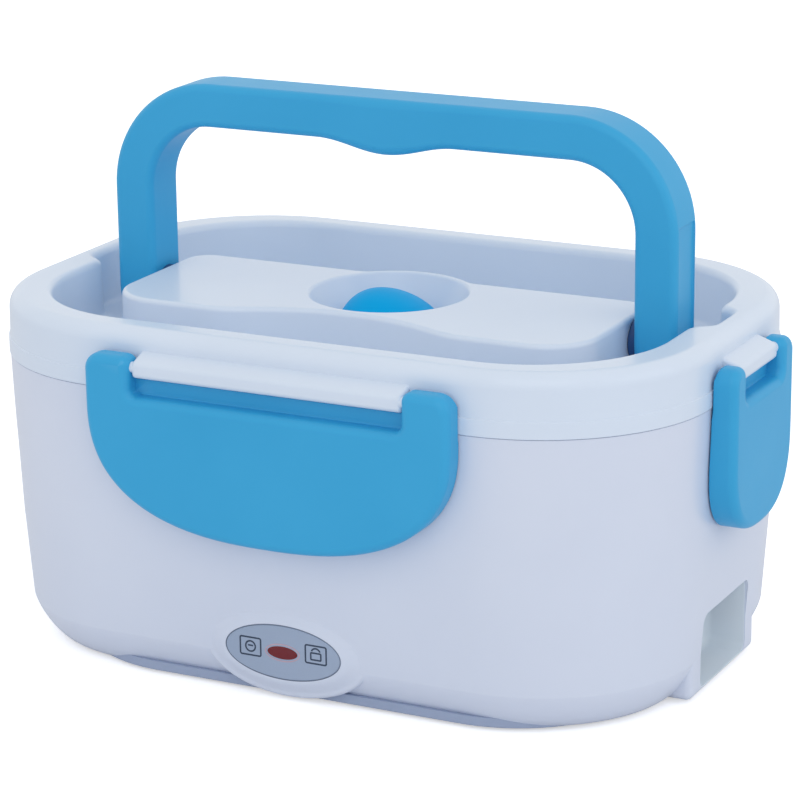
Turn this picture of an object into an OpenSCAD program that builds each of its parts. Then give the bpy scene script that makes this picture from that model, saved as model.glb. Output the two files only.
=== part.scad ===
// Electric lunch box: a warming base with a mains inlet, a lift-off lid held by four latches, a folding
// handle, a steam vent plug, and lift-out food containers. Millimetres. X runs along the length, Y to the
// back, Z up; the origin is the centre of the footprint on the table.

/* [Body] */
// Length of the body at the top of the lid
body_l = 222; // [196:1:250]
// Depth of the body at the top of the lid
body_w = 149; // [134:1:170]
// Corner radius of the body at the top of the lid
corner_r = 51; // [40:1:60]
// Height of the lid rim above the table
body_h = 108.8; // [96:0.2:124]
// Height of the seam between the base and the lid
seam_z = 90.4; // [82:0.2:96]
// Open seam between the base and the lid
seam_gap = 0.5; // [0.3:0.1:1]
// Wall thickness of the base and the lid
wall_t = 2.4; // [1.8:0.1:3]

/* [Lid] */
// Depth of the recess below the lid rim
recess_d = 18.3; // [14:0.1:21]
// Width of the lid rim at the front and the back
rim_w = 10; // [8:0.5:13]
// Width of the lid rim at the ends
rim_end_w = 12.5; // [11:0.5:18]
// Width of the channel in front of the island, which takes the folded grip
channel_w = 24.5; // [20:0.5:30]
// Drop of the island top below the rim
island_drop = 1.3; // [0:0.1:4]
// Radius of the funnel mouth
funnel_r = 25; // [22:0.5:27]
// Radius of the vent plug dome
dome_r = 18.2; // [15:0.1:18.4]

/* [Handle] */
// Gap between each leg and the end wall of the recess
leg_gap = 4.6; // [3:0.1:8]
// Gap between each leg and the island
island_gap = 2.5; // [2.3:0.1:4]
// Gap between the folded grip and the front wall of the recess
fold_gap = 1; // [0.8:0.1:6]
// Thickness of the handle, front to back
handle_t = 17.2; // [14:0.2:18]
// Width of each leg
leg_w = 13.4; // [10:0.1:14]
// Radius of the handle pins
handle_pin_r = 3; // [2:0.1:3.5]

/* [Latches] */
// Width of the front and back latches
wide_latch_w = 117; // [90:1:124]
// Width of the end latches
end_latch_w = 48; // [40:0.5:54]
// Height of the latch tip above the table
latch_tip_z = 49.8; // [45:0.2:56]
// Radius of the latch pins
latch_pin_r = 1.6; // [1.2:0.1:1.9]
// Running clearance around every pin
pin_gap = 0.05; // [0.02:0.01:0.1]

/* [Containers] */
// Wall thickness of the food tray
tray_t = 1.5; // [1:0.1:2.2]
// Position of the tray divider along the length
divider_x = 22; // [0:1:34]
// Gap between the side dish and the walls of its compartment
dish_gap = 5; // [4:0.5:9]

/* [Electrics] */
// Length of the heating plate
plate_l = 116; // [100:1:126]
// Depth of the heating plate
plate_w = 66; // [58:1:74]
// Radius of a mains pin
mains_pin_r = 1.2; // [1:0.1:1.5]
// Distance between the mains pins
mains_pitch = 8.6; // [8.2:0.1:9.4]
// Length of the oval front panel
panel_l = 37.6; // [32:0.2:42]
// Height of the oval front panel
panel_h = 16.4; // [13:0.2:18]

/* [Hidden] */
$fn = 48;
over = 1;
px = body_l / 2 - corner_r;
py = body_w / 2 - corner_r;
seat = 0.05;
loose = 0.3;
// heights, from the table up
foot_h = 1;
cover_t = 3;
skirt_z = foot_h + cover_t;
low_z = skirt_z + 9;
base_top = seam_z - seam_gap / 2;
lid_bottom = seam_z + seam_gap / 2;
recess_z = body_h - recess_d;
island_z = body_h - island_drop;
lid_floor_z = recess_z - wall_t;
plug_z = min(seam_z - 2.3, lid_floor_z);
liner_t = 1.75;
liner_z = plug_z - 1.9 - liner_t;
gasket_t = 2;
gasket_z = liner_z - gasket_t;
tray_rim_t = 1.6;
tray_rim_z = gasket_z - seat - tray_rim_t;
well_rim_t = 1.8;
well_rim_z = tray_rim_z - well_rim_t;
ledge_z = well_rim_z - wall_t;
inlet_low = 1.8;
mouth_w = 36.8;
mouth_top = 26.5;
inlet_wall = 2;
inlet_top = mouth_top + inlet_wall;
wire_room = 5.7;
well_floor_z = inlet_top + wire_room;
well_t = 1.6;
well_floor_t = 1.8;
plate_top_z = well_floor_z + well_floor_t + 0.4;
tray_floor_z = plate_top_z + 0.2;
// offsets of the outer faces from the nominal outline
low_off = -2.4;
top_off = 1.4;
band_off = 1.7;
lid_off = 1.3;
band_top = lid_bottom + 5;
function side(z) = low_off + (top_off - low_off) * (z - low_z) / (base_top - low_z);
// latches
ear_r = 3.6;
latch_gap = 0.3;
latch_back = band_off + latch_gap;
latch_out = latch_back + ear_r;
latch_face = latch_out + ear_r;
latch_t = 2.2;
pivot_z = band_top + 3.25;
ledge_top = pivot_z + 2.1;
ledge_low = pivot_z - 3.1;
ledge_in = 1.6;
ledge_r = 1.6;
ledge_slope = 20;
ledge_lap = 0.06;
notch_z = pivot_z - 8.3;
latch_top_z = seam_z - 2.4;
end_curve_z = seam_z - 15.4;
wide_ear = 16.2;
end_ear = 9.7;
ear_side = 0.4;
pin_l = 6;
catch_z = latch_tip_z + 9.6;
catch_h = 2;
catch_gap = 0.2;
rib_out = 3.1;
// handle
handle_y = 3.2;
handle_z = recess_z + handle_t / 2 + 0.9;
handle_l = body_l - 2 * (rim_end_w + leg_gap);
handle_h = body_w / 2 - rim_w + handle_y - fold_gap;
handle_top = handle_z + handle_h;
handle_r = 34;
handle_edge = 2.2;
bump_w = 20;
bump_h = 3.6;
bump_t = handle_t - 2 * handle_edge - 0.8;
boss_l = island_gap - 0.2;
// island and vent
island_l = handle_l - 2 * (leg_w + island_gap);
island_r = 16;
island_back = 18;
island_front = channel_w - (body_w / 2 - rim_w);
island_w = island_back - island_front;
collar_t = 2.5;
vent_y = -2;
vent_r = 18.5;
vent_floor_z = recess_z + 4.5;
stem_r = 6;
steam_x = 40;
steam_y = 30;
steam_r = 1.2;
// panel
panel_z = 15.8;
bulge_l = panel_l + 16.8;
bulge_h = panel_h + 13.2;
bulge_y = body_w / 2 - 0.9;
bulge_foot = body_w / 2 + low_off - 0.2;
panel_t = 1.4;
lens_l = 10.8;
lens_h = 4.8;
// lamp board, held in two posts of the bottom cover
board_y = body_w / 2 - 10.9;
board_l = 26.6;
board_h = 20;
board_t = 1.2;
board_z = skirt_z + 2.2;
post_t = 3;
post_w = 6;
// inlet
inlet_x = body_l / 2 + low_off;
inlet_w = 52;
inlet_r = 5;
inlet_d = 13.6;
inlet_z = 16;
inlet_back = inlet_x - inlet_d;
socket_l = 22;
socket_h = 13;
socket_d = 13;
socket_wall = 4;
pin_tail_r = mains_pin_r - 0.2;
mains_tail = 5;
flange_t = 1.6;
// bottom cover and screws
cover_l = body_l - 20;
cover_w = body_w - 12;
cover_r = corner_r - 5;
screw_x = body_l / 2 - 27;
screw_y = body_w / 2 - 27.5;
screw_r = 1.5;
head_r = 3;
foot_x = body_l / 2 - 41;
foot_y = body_w / 2 - 30.5;
foot_r = 6;
// heater
gap_ring = 4;
flange_w = 9;
plate_flange_t = 1.6;
plate_flange_z = well_floor_z - gasket_t - plate_flange_t;
strap_t = 1.6;
strap_w = 8;
strap_x = plate_l / 2 + 16;
strap_y = plate_w / 2 - 9;
ptc_in = 23;
ptc_l = plate_l - 2 * ptc_in;
ptc_w = 18;
ptc_t = 6;
ptc_z = plate_flange_z - ptc_t;
clamp_w = 12;
clamp_foot = 6;
clamp_t = 1.4;

// ---------- shared shapes ----------

// Rounded rectangle.
module rr(l, w, r) {
  square([l - 2 * r, w], center = true);
  square([l, w - 2 * r], center = true);
  for (x = [-1, 1], y = [-1, 1])
    translate([x * (l / 2 - r), y * (w / 2 - r)])
      circle(r);
}

module slab(l, w, r, z0, z1) {
  translate([0, 0, z0])
    linear_extrude(z1 - z0)
      rr(l, w, r);
}

// Solid of a rounded rectangle whose outline grows and shrinks with height: steps = [[offset, z], ...].
module loft(steps, x = px, y = py, r = corner_r) {
  z0 = steps[0][1];
  z1 = steps[len(steps) - 1][1];
  edge = [for (p = steps) [r + p[0], p[1]]];
  spun = concat([[0, z0]], edge, [[0, z1]]);
  swept = concat([[-over, z0]], edge, [[-over, z1]]);
  for (i = [-1, 1], j = [-1, 1])
    translate([i * x, j * y, 0])
      rotate_extrude($fn = 72)
        polygon(spun);
  for (a = [0, 180])
    rotate([0, 0, a]) {
      translate([x, y, 0])
        rotate([90, 0, 0])
          linear_extrude(2 * y)
            polygon(swept);
      translate([-x, y, 0])
        rotate([90, 0, 90])
          linear_extrude(2 * x)
            polygon(swept);
    }
  translate([-x, -y, z0])
    cube([2 * x, 2 * y, z1 - z0]);
}

module ring(outer, inner, z0, z1) {
  difference() {
    loft([[outer, z0], [outer, z1]]);
    loft([[inner, z0 - over], [inner, z1 + over]]);
  }
}

module four(x, y) {
  for (i = [-1, 1], j = [-1, 1])
    translate([i * x, j * y, 0])
      children();
}

// Oval prism facing the front, from depth y0 to depth y1 in front of the middle.
module oval(l, h, y0, y1) {
  translate([0, -y0, panel_z])
    rotate([90, 0, 0])
      scale([1, h / l, 1])
        cylinder(d = l, h = y1 - y0);
}

module rod(a, b, r) {
  d = b - a;
  n = norm(d);
  translate(a)
    rotate([0, acos(d[2] / n), atan2(d[1], d[0])])
      cylinder(r = r, h = n, $fn = 8);
}

module wire(pts, r = 0.9) {
  for (i = [0 : len(pts) - 2])
    rod(pts[i], pts[i + 1], r);
  for (i = [1 : len(pts) - 2])
    translate(pts[i])
      sphere(r = 1.15 * r, $fn = 8);
}

// Places its children at the four latch positions: front, right, back, left.
module site(k) {
  rotate([0, 0, 90 * k])
    children();
}

function reach(k) = k % 2 == 0 ? body_w / 2 : body_l / 2;
function latch_w(k) = k % 2 == 0 ? wide_latch_w : end_latch_w;
function ear_w(k) = k % 2 == 0 ? wide_ear : end_ear;
function curve_z(k) = k % 2 == 0 ? latch_top_z : end_curve_z;
function ledge_half(k) = latch_w(k) / 2 - ear_w(k) - ear_side;

// ---------- base ----------

module base_rib(k) {
  half = k % 2 == 0 ? 30 : 12;
  z = catch_z + catch_h + 1;
  site(k)
    translate([-half, -(reach(k) + rib_out), z])
      cube([2 * half, rib_out + wall_t, catch_h]);
}

module base_shell() {
  color("#E4E8F2")
    difference() {
      union() {
        difference() {
          loft([[low_off - 3.4, skirt_z], [low_off - 1.8, skirt_z + 1.2], [low_off - 0.7, skirt_z + 4],
            [low_off, low_z], [top_off, base_top]]);
          loft([[low_off - 2 - wall_t, skirt_z + wall_t], [low_off - wall_t, low_z],
            [side(ledge_z) - wall_t, ledge_z]]);
          loft([[-7.4, ledge_z - over], [-7.4, well_rim_z + over]]);
          loft([[top_off - wall_t, well_rim_z], [top_off - wall_t, base_top + over]]);
          slab(cover_l - 22, cover_w - 29, cover_r - 12, skirt_z - over, skirt_z + wall_t + over);
        }
        // panel tab: it carries the front wall on down below the skirt and swells out to the panel
        oval(bulge_l, bulge_h, body_w / 2 - 7.5, bulge_foot);
        translate([0, -bulge_foot, panel_z])
          rotate([90, 0, 0])
            scale([1, bulge_h / bulge_l, 1])
              cylinder(d1 = bulge_l, d2 = bulge_l - 9, h = bulge_y - bulge_foot);
        // inlet housing: its foot carries the end wall on down, its upper part is a box behind the wall
        translate([0, 0, inlet_low])
          linear_extrude(low_z - inlet_low)
            inlet_plan();
        translate([inlet_back - inlet_wall, -mouth_w / 2 - inlet_wall, inlet_low])
          cube([inlet_d + inlet_wall, mouth_w + 2 * inlet_wall, inlet_top - inlet_low]);
        // screw bosses
        four(screw_x, screw_y)
          translate([0, 0, skirt_z])
            cylinder(r = 4, h = 18);
        for (k = [0 : 3])
          base_rib(k);
      }
      four(screw_x, screw_y)
        translate([0, 0, skirt_z - over])
          cylinder(r = screw_r + seat, h = 15 + over, $fn = 24);
      // inlet recess and the hole for the inlet body
      translate([inlet_back, 0, 0])
        rotate([90, 0, 90])
          linear_extrude(inlet_d + 10)
            mouth_outline();
      translate([inlet_back - inlet_wall - over, -socket_l / 2 - seat, inlet_z - socket_h / 2 - seat])
        cube([inlet_wall + 2 * over, socket_l + 2 * seat, socket_h + 2 * seat]);
      // slot in the floor for the lamp board and its posts
      translate([-board_l / 2 - post_t, -board_y - post_w / 2, skirt_z - over])
        cube([board_l + 2 * post_t, post_w + 8, wall_t + 2 * over]);
      // panel pocket, lens hole and the space for the bottom cover
      oval(panel_l + 2 * seat, panel_h + 2 * seat, bulge_y - panel_t + 0.2, bulge_y + over);
      oval(lens_l + 2 * seat, lens_h + 2 * seat, body_w / 2 - 8 - over, bulge_y);
      difference() {
        slab(cover_l + loose, cover_w + loose, cover_r + loose / 2, -over, skirt_z);
        translate([inlet_back - inlet_wall, -inlet_w / 2, -2 * over])
          cube([inlet_d + 2 * wall_t, inlet_w, skirt_z + 3 * over]);
      }
    }
}

// Plan of the foot of the inlet housing: square inside the base, its two outer corners rounded.
module inlet_plan() {
  x0 = inlet_back - inlet_wall;
  translate([x0, -inlet_w / 2])
    square([inlet_x - inlet_r - x0, inlet_w]);
  translate([x0, -inlet_w / 2 + inlet_r])
    square([inlet_x - x0, inlet_w - 2 * inlet_r]);
  for (j = [-1, 1])
    translate([inlet_x - inlet_r, j * (inlet_w / 2 - inlet_r)])
      circle(inlet_r);
}

// Mouth of the inlet recess: flat at the bottom, its two top corners rounded.
module mouth_outline() {
  r = 4;
  low = inlet_low + 1.2;
  translate([-mouth_w / 2, low])
    square([mouth_w, mouth_top - low - r]);
  translate([-mouth_w / 2 + r, low])
    square([mouth_w - 2 * r, mouth_top - low]);
  for (i = [-1, 1])
    translate([i * (mouth_w / 2 - r), mouth_top - r])
      circle(r);
}

module bottom_cover() {
  color("#B9C2D2")
    difference() {
      union() {
        slab(cover_l, cover_w, cover_r, foot_h, skirt_z);
        // slotted posts that hold the indicator board
        for (i = [-1, 1])
          translate([i * (board_l / 2 + 0.2) - post_t / 2, -board_y - post_w / 2 + board_t / 2, skirt_z - over])
            cube([post_t, post_w, 14 + over]);
      }
      translate([inlet_back - inlet_wall - loose, -inlet_w / 2 - loose, 0])
        cube([inlet_d + 20, inlet_w + 2 * loose, skirt_z + over]);
      four(screw_x, screw_y) {
        translate([0, 0, foot_h - over])
          cylinder(r = screw_r + 0.2, h = cover_t + 2 * over, $fn = 24);
        translate([0, 0, foot_h - over])
          cylinder(r = head_r + 0.2, h = 1.6 + over, $fn = 24);
      }
      four(foot_x, foot_y)
        translate([0, 0, foot_h - over])
          cylinder(r = foot_r + seat, h = 1 + over);
      translate([-board_l / 2 - 0.2, -board_y - 0.1, board_z - 0.2])
        cube([board_l + 0.4, board_t + 0.2, board_h]);
    }
}

module cover_screws() {
  color("#9AA0A8")
    four(screw_x, screw_y) {
      translate([0, 0, foot_h + 0.2])
        cylinder(r = head_r, h = 1.4, $fn = 24);
      translate([0, 0, foot_h + 1.5])
        cylinder(r = screw_r, h = 13, $fn = 24);
    }
}

module rubber_feet() {
  color("#3A3E46")
    four(foot_x, foot_y) {
      cylinder(r1 = foot_r - 0.6, r2 = foot_r, h = foot_h);
      translate([0, 0, foot_h])
        cylinder(r = foot_r, h = 1);
    }
}

module inner_well() {
  color("#EEF1F6")
    difference() {
      union() {
        loft([[-13, well_floor_z], [-8, well_rim_z], [-8, well_rim_z + well_rim_t]]);
        loft([[top_off - wall_t - loose, well_rim_z], [top_off - wall_t - loose, well_rim_z + well_rim_t]]);
        four(strap_x, strap_y)
          translate([0, 0, plate_flange_z])
            cylinder(r = 3.5, h = well_floor_z - plate_flange_z + over / 2, $fn = 24);
      }
      loft([[-13 - well_t, well_floor_z + well_floor_t], [-8 - well_t, well_rim_z],
        [-8 - well_t, well_rim_z + well_rim_t + over]]);
      slab(plate_l + 2 * gap_ring, plate_w + 2 * gap_ring, 22, well_floor_z - over, well_floor_z + 3);
      four(strap_x, strap_y)
        translate([0, 0, plate_flange_z - over])
          cylinder(r = 1.3 + seat, h = 4 + over, $fn = 24);
    }
}

module plate_gasket() {
  color("#8F959E")
    difference() {
      union() {
        slab(plate_l + 2 * flange_w, plate_w + 2 * flange_w, 26, well_floor_z - gasket_t, well_floor_z);
        slab(plate_l + 2 * gap_ring - 2 * seat, plate_w + 2 * gap_ring - 2 * seat, 22 - seat,
          well_floor_z - over, well_floor_z + well_floor_t);
      }
      slab(plate_l + 2 * seat, plate_w + 2 * seat, 18 + seat, well_floor_z - 5, well_floor_z + 5);
    }
}

module heating_plate() {
  color("#BFC4CA") {
    slab(plate_l, plate_w, 18, plate_flange_z, plate_top_z);
    slab(plate_l + 2 * flange_w, plate_w + 2 * flange_w, 26, plate_flange_z, plate_flange_z + plate_flange_t);
  }
}

module heating_element() {
  color("#8E9399") {
    translate([-ptc_l / 2, -ptc_w / 2, ptc_z])
      cube([ptc_l, ptc_w, ptc_t]);
    for (j = [-1, 1])
      translate([ptc_l / 2 - over, j * 5 - 2, ptc_z + 2])
        cube([5 + over, 4, 0.8]);
  }
}

module plate_straps() {
  color("#A6ABB2")
    for (j = [-1, 1])
      difference() {
        translate([-strap_x - 5, j * strap_y - strap_w / 2, plate_flange_z - strap_t])
          cube([2 * strap_x + 10, strap_w, strap_t]);
        for (i = [-1, 1])
          translate([i * strap_x, j * strap_y, plate_flange_z - strap_t - over])
            cylinder(r = 1.5, h = strap_t + 2 * over, $fn = 24);
      }
}

module strap_screws() {
  color("#9AA0A8")
    four(strap_x, strap_y) {
      translate([0, 0, plate_flange_z - strap_t - 1.6])
        cylinder(r = 2.6, h = 1.6, $fn = 24);
      translate([0, 0, plate_flange_z - strap_t - over / 2])
        cylinder(r = 1.3, h = strap_t + 3.5 + over / 2, $fn = 24);
    }
}

module element_clamp() {
  color("#B4B8BE") {
    translate([-clamp_w / 2, -strap_y - clamp_foot / 2, ptc_z - clamp_t])
      cube([clamp_w, 2 * strap_y + clamp_foot, clamp_t]);
    for (j = [-1, 1])
      translate([-clamp_w / 2, j * strap_y - clamp_foot / 2, ptc_z - over])
        cube([clamp_w, clamp_foot, ptc_t - strap_t + over]);
  }
}

module thermostat() {
  color("#4A4438") {
    translate([-ptc_l / 2 - 12, 0, plate_flange_z - 5])
      cylinder(r = 8, h = 5);
    for (j = [-1, 1])
      translate([-ptc_l / 2 - 14, j * 5 - 1.5, plate_flange_z - 10])
        cube([4, 0.8, 5 + over / 2]);
  }
}

module thermal_fuse() {
  color("#D8D2C4") {
    translate([ptc_l / 2 + 12, -9, plate_flange_z - 2.5])
      rotate([-90, 0, 0])
        cylinder(r = 2.5, h = 18, $fn = 24);
    for (y = [-13, 9 - over / 2])
      translate([ptc_l / 2 + 12, y, plate_flange_z - 2.5])
        rotate([-90, 0, 0])
          cylinder(r = 0.6, h = 4 + over / 2, $fn = 16);
  }
}

module indicator_board() {
  color("#2F6B45")
    translate([-board_l / 2, -board_y, board_z])
      cube([board_l, board_t, board_h]);
}

module indicator_led() {
  color("#D9484F") {
    translate([0, -board_y, panel_z])
      rotate([90, 0, 0])
        cylinder(r = 1.5, h = 2, $fn = 24);
    translate([0, -board_y - 2, panel_z])
      sphere(r = 1.5, $fn = 24);
  }
}

module indicator_lens() {
  color("#8C2A35") {
    oval(lens_l, lens_h, body_w / 2 - 6.5, bulge_y + 0.3);
  }
}

module panel_plate() {
  color("#A9B7CC")
    difference() {
      oval(panel_l, panel_h, bulge_y - panel_t + 0.2, bulge_y + 0.2);
      oval(lens_l + 2 * seat, lens_h + 2 * seat, bulge_y - 5, bulge_y + 5);
    }
}

module mains_inlet() {
  color("#3C4048")
    difference() {
      union() {
        translate([inlet_back - socket_d, -socket_l / 2, inlet_z - socket_h / 2])
          cube([socket_d + flange_t, socket_l, socket_h]);
        translate([inlet_back, -socket_l / 2 - 3, inlet_z - socket_h / 2 - 2.5])
          cube([flange_t, socket_l + 6, socket_h + 5]);
      }
      for (j = [-1, 1]) {
        translate([inlet_back - socket_d + socket_wall, j * mains_pitch / 2, inlet_z])
          rotate([0, 90, 0])
            cylinder(r = 4.1, h = socket_d + 5);
        translate([inlet_back - socket_d - over, j * mains_pitch / 2, inlet_z])
          rotate([0, 90, 0])
            cylinder(r = pin_tail_r, h = socket_d, $fn = 24);
      }
    }
}

module mains_pins() {
  color("#C9B458")
    for (j = [-1, 1])
      translate([inlet_back - socket_d, j * mains_pitch / 2, inlet_z])
        rotate([0, 90, 0]) {
          translate([0, 0, -mains_tail])
            cylinder(r = pin_tail_r, h = 2 * mains_tail, $fn = 24);
          translate([0, 0, socket_wall + 0.5])
            cylinder(r = mains_pin_r, h = socket_d - socket_wall, $fn = 24);
        }
}

module wiring() {
  pin_x = inlet_back - socket_d - mains_tail - 0.3;
  run_z = 12;
  end_x = ptc_l / 2 + 12;
  fuse_x = end_x;
  fuse_z = plate_flange_z - 2.5;
  tab_x = ptc_l / 2 + 4.4;
  color("#B23B3B") {
    wire([[pin_x, mains_pitch / 2, inlet_z], [pin_x - 4, mains_pitch / 2, inlet_z], [pin_x - 12, 16, run_z],
      [20, 16, run_z], [-38, 12, run_z],
      [-end_x, 6, plate_flange_z - 14], [-end_x, 5, plate_flange_z - 10.3]]);
    wire([[pin_x, -mains_pitch / 2, inlet_z], [pin_x - 4, -mains_pitch / 2, inlet_z],
      [pin_x - 12, -14, run_z + 4], [fuse_x, -18, fuse_z - 1], [fuse_x, -13.3, fuse_z]]);
    wire([[fuse_x, 13.3, fuse_z], [fuse_x, 17, fuse_z - 1], [tab_x + 4, 12, ptc_z - 3],
      [tab_x + 3, 5, ptc_z + 2.4], [tab_x + 0.9, 5, ptc_z + 2.4]]);
    wire([[tab_x + 0.9, -5, ptc_z + 2.4], [tab_x + 3, -5, ptc_z + 2.4], [30, -14, run_z + 2],
      [-30, -14, run_z], [-end_x, -6, plate_flange_z - 14], [-end_x, -5, plate_flange_z - 10.3]]);
    for (i = [-1, 1])
      wire([[i * 5, 1.7 - board_y, 12], [i * 5, 5 - board_y, 11], [i * 5 + 3, 14 - board_y, 9],
        [i * 4 + 40, 40 - board_y, 9]]);
  }
}

// ---------- containers ----------

module food_tray() {
  wall_low = -13 - well_t - 0.9;
  wall_high = -8 - well_t - 0.8;
  inner_top = tray_rim_z + tray_rim_t + over;
  color("#F4F5F7")
    difference() {
      union() {
        loft([[wall_low - 2, tray_floor_z], [wall_low, tray_floor_z + 2], [wall_high, tray_rim_z],
          [wall_high, tray_rim_z + tray_rim_t]]);
        loft([[-3, tray_rim_z], [-3, tray_rim_z + tray_rim_t]]);
      }
      difference() {
        loft([[wall_low - 2.4 - tray_t, tray_floor_z + 1.6], [wall_low - tray_t, tray_floor_z + 4],
          [wall_high - tray_t, tray_rim_z], [wall_high - tray_t, inner_top]]);
        translate([divider_x - 1, -body_w / 2, 0])
          cube([2, body_w, tray_rim_z + tray_rim_t - 3]);
      }
    }
}

tray_low = -13 - well_t - 3.3 - tray_t;
dish_l = body_l / 2 + tray_low - divider_x - 2 * dish_gap + 3;
dish_r = 26;
dish_w = body_w + 2 * (tray_low - dish_gap) + 4;
dish_x = (body_l / 2 + tray_low + divider_x + 1) / 2;
dish_z = tray_floor_z + 1.7;
dish_top = tray_rim_z - 4;
module side_dish() {
  color("#DDE6EE")
    translate([dish_x, 0, 0])
      difference() {
        union() {
          slab(dish_l - 4, dish_w - 4, dish_r - 2, dish_z, dish_top);
          slab(dish_l - 1, dish_w - 1, dish_r, dish_top - 2, dish_top);
        }
        slab(dish_l - 7, dish_w - 7, dish_r - 3.5, dish_z + 1.6, dish_top + over);
      }
}

module side_dish_lid() {
  color("#9CCBEA")
    translate([dish_x, 0, 0])
      difference() {
        union() {
          slab(dish_l - 1, dish_w - 1, dish_r, dish_top + seat, dish_top + 1.6);
          slab(dish_l - 7.4, dish_w - 7.4, dish_r - 3.7, dish_top - 2.5, dish_top + seat + over / 2);
        }
        slab(dish_l - 11, dish_w - 11, dish_r - 6, dish_top - 3.5, dish_top + seat - 0.05);
      }
}

// ---------- lid ----------

// Plan of the island: rounded front corners, tighter back corners, a finger scallop in the front edge and a
// swelling round the funnel at the back. grow > 0 makes it larger all round.
module island_plan(grow) {
  half = island_l / 2 + grow;
  back_r = 8;
  scallop_w = 36;
  scallop_d = vent_y - funnel_r - collar_t - island_front;
  scallop_r = (scallop_w * scallop_w + scallop_d * scallop_d) / (2 * scallop_d) - grow;
  difference() {
    union() {
      translate([-half, island_front + island_r])
        square([2 * half, island_w - island_r - back_r]);
      translate([-half + island_r, island_front - grow])
        square([2 * (half - island_r), island_r + 1 + grow]);
      translate([-half + back_r, island_back - back_r - 1])
        square([2 * (half - back_r), back_r + 1 + grow]);
      for (i = [-1, 1]) {
        translate([i * (half - island_r - grow), island_front + island_r])
          circle(island_r + grow);
        translate([i * (half - back_r - grow), island_back - back_r])
          circle(back_r + grow);
      }
      translate([0, vent_y])
        circle(funnel_r + collar_t + grow);
    }
    translate([0, island_front + scallop_d - scallop_r - grow])
      circle(scallop_r, $fn = 120);
  }
}

// Section of a ledge: its top slopes down from the lid, its two outer edges are rounded. The slope starts
// a little inside the upper rounding, so that the two cross cleanly.
module ledge_section() {
  h = ledge_top - ledge_low;
  d = latch_out + ledge_r - lid_off + ledge_in;
  top_x = -d + ledge_r - (ledge_r - ledge_lap) * sin(ledge_slope);
  top_z = h / 2 - ledge_r + (ledge_r - ledge_lap) * cos(ledge_slope);
  polygon([[0, -h / 2], [0, top_z - top_x * tan(ledge_slope)], [top_x, top_z], [-d + ledge_r, -h / 2]]);
  translate([-d, -h / 2 + ledge_r])
    square([d, h - 2 * ledge_r]);
  for (j = [-1, 1])
    translate([-d + ledge_r, j * (h / 2 - ledge_r)])
      circle(ledge_r, $fn = 32);
}

module latch_ledge(k) {
  half = ledge_half(k);
  site(k) {
    translate([-half, -(reach(k) + lid_off - ledge_in), (ledge_low + ledge_top) / 2])
      rotate([90, 0, 90])
        linear_extrude(2 * half)
          ledge_section();
    translate([-half - pin_l, -(reach(k) + latch_out), pivot_z])
      rotate([0, 90, 0])
        cylinder(r = latch_pin_r, h = 2 * (half + pin_l), $fn = 32);
  }
}

module lid_shell() {
  recess_r = corner_r - rim_w;
  rx = body_l / 2 - rim_end_w - recess_r;
  ry = body_w / 2 - rim_w - recess_r;
  color("#E8ECF5")
    difference() {
      union() {
        difference() {
          union() {
            loft([[band_off, lid_bottom], [band_off, band_top], [lid_off, band_top + 0.2],
              [lid_off - 0.2, body_h - 4.6], [lid_off - 0.9, body_h - 2.2], [lid_off - 2.5, body_h - 0.6],
              [lid_off - 4.6, body_h]]);
            loft([[-4, plug_z], [-4, lid_bottom + 2]]);
          }
          if (lid_floor_z > plug_z)
            loft([[-4 - wall_t, plug_z - over], [-4 - wall_t, lid_floor_z]]);
          // recess, with a rounded edge along the top of the rim
          loft([[0, recess_z], [0, body_h - 3.2], [0.8, body_h - 1.3], [2.6, body_h - 0.2],
            [2.6, body_h + over]], rx, ry, recess_r);
          // pockets in the end walls beside the handle legs
          for (i = [-1, 1])
            translate([i * (body_l / 2 - rim_end_w) - 6, -4, recess_z])
              cube([12, 20, recess_d + over]);
          // channel under the rim
          difference() {
            loft([[band_off - wall_t - 0.5, lid_bottom - over - 5], [lid_off - wall_t - 0.5, body_h - 6],
              [lid_off - wall_t - 2, body_h - wall_t - 0.6]]);
            loft([[wall_t, lid_floor_z - 6], [wall_t, body_h]], rx, ry, recess_r);
            for (i = [-1, 1])
              translate([i * (body_l / 2 - rim_end_w) - 6 - wall_t, -4 - wall_t, lid_floor_z - 6])
                cube([12 + 2 * wall_t, 20 + 2 * wall_t, body_h]);
          }
        }
        difference() {
          translate([0, 0, recess_z - over])
            linear_extrude(island_z - recess_z + over)
              island_plan(0);
          translate([0, vent_y, island_z - 9.5])
            cylinder(r1 = vent_r, r2 = funnel_r, h = 9.5 + seat / 10, $fn = 72);
        }
        for (k = [0 : 3])
          latch_ledge(k);
      }
      // hollow inside the island, left of and right of the vent
      difference() {
        translate([-island_l / 2 + 9, island_front + 14, lid_floor_z - over])
          cube([island_l - 18, island_w - 17, island_z - wall_t - lid_floor_z + over]);
        translate([0, vent_y, lid_floor_z - 2 * over])
          cylinder(r = funnel_r + collar_t, h = body_h);
      }
      // vent well, its stem hole and the space under it
      translate([0, vent_y, vent_floor_z])
        cylinder(r = vent_r, h = body_h, $fn = 72);
      translate([0, vent_y, plug_z - over])
        cylinder(r = stem_r + pin_gap, h = vent_floor_z - plug_z + 2 * over);
      translate([0, vent_y, lid_floor_z - over])
        cylinder(r = vent_r - 3, h = vent_floor_z - wall_t - lid_floor_z + over);
      // blind bores for the handle pins
      for (i = [-1, 1])
        translate([i * (island_l / 2 - 3), handle_y, handle_z])
          rotate([0, 90, 0])
            cylinder(r = handle_pin_r + pin_gap, h = 8, center = true, $fn = 32);
    }
}

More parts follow.
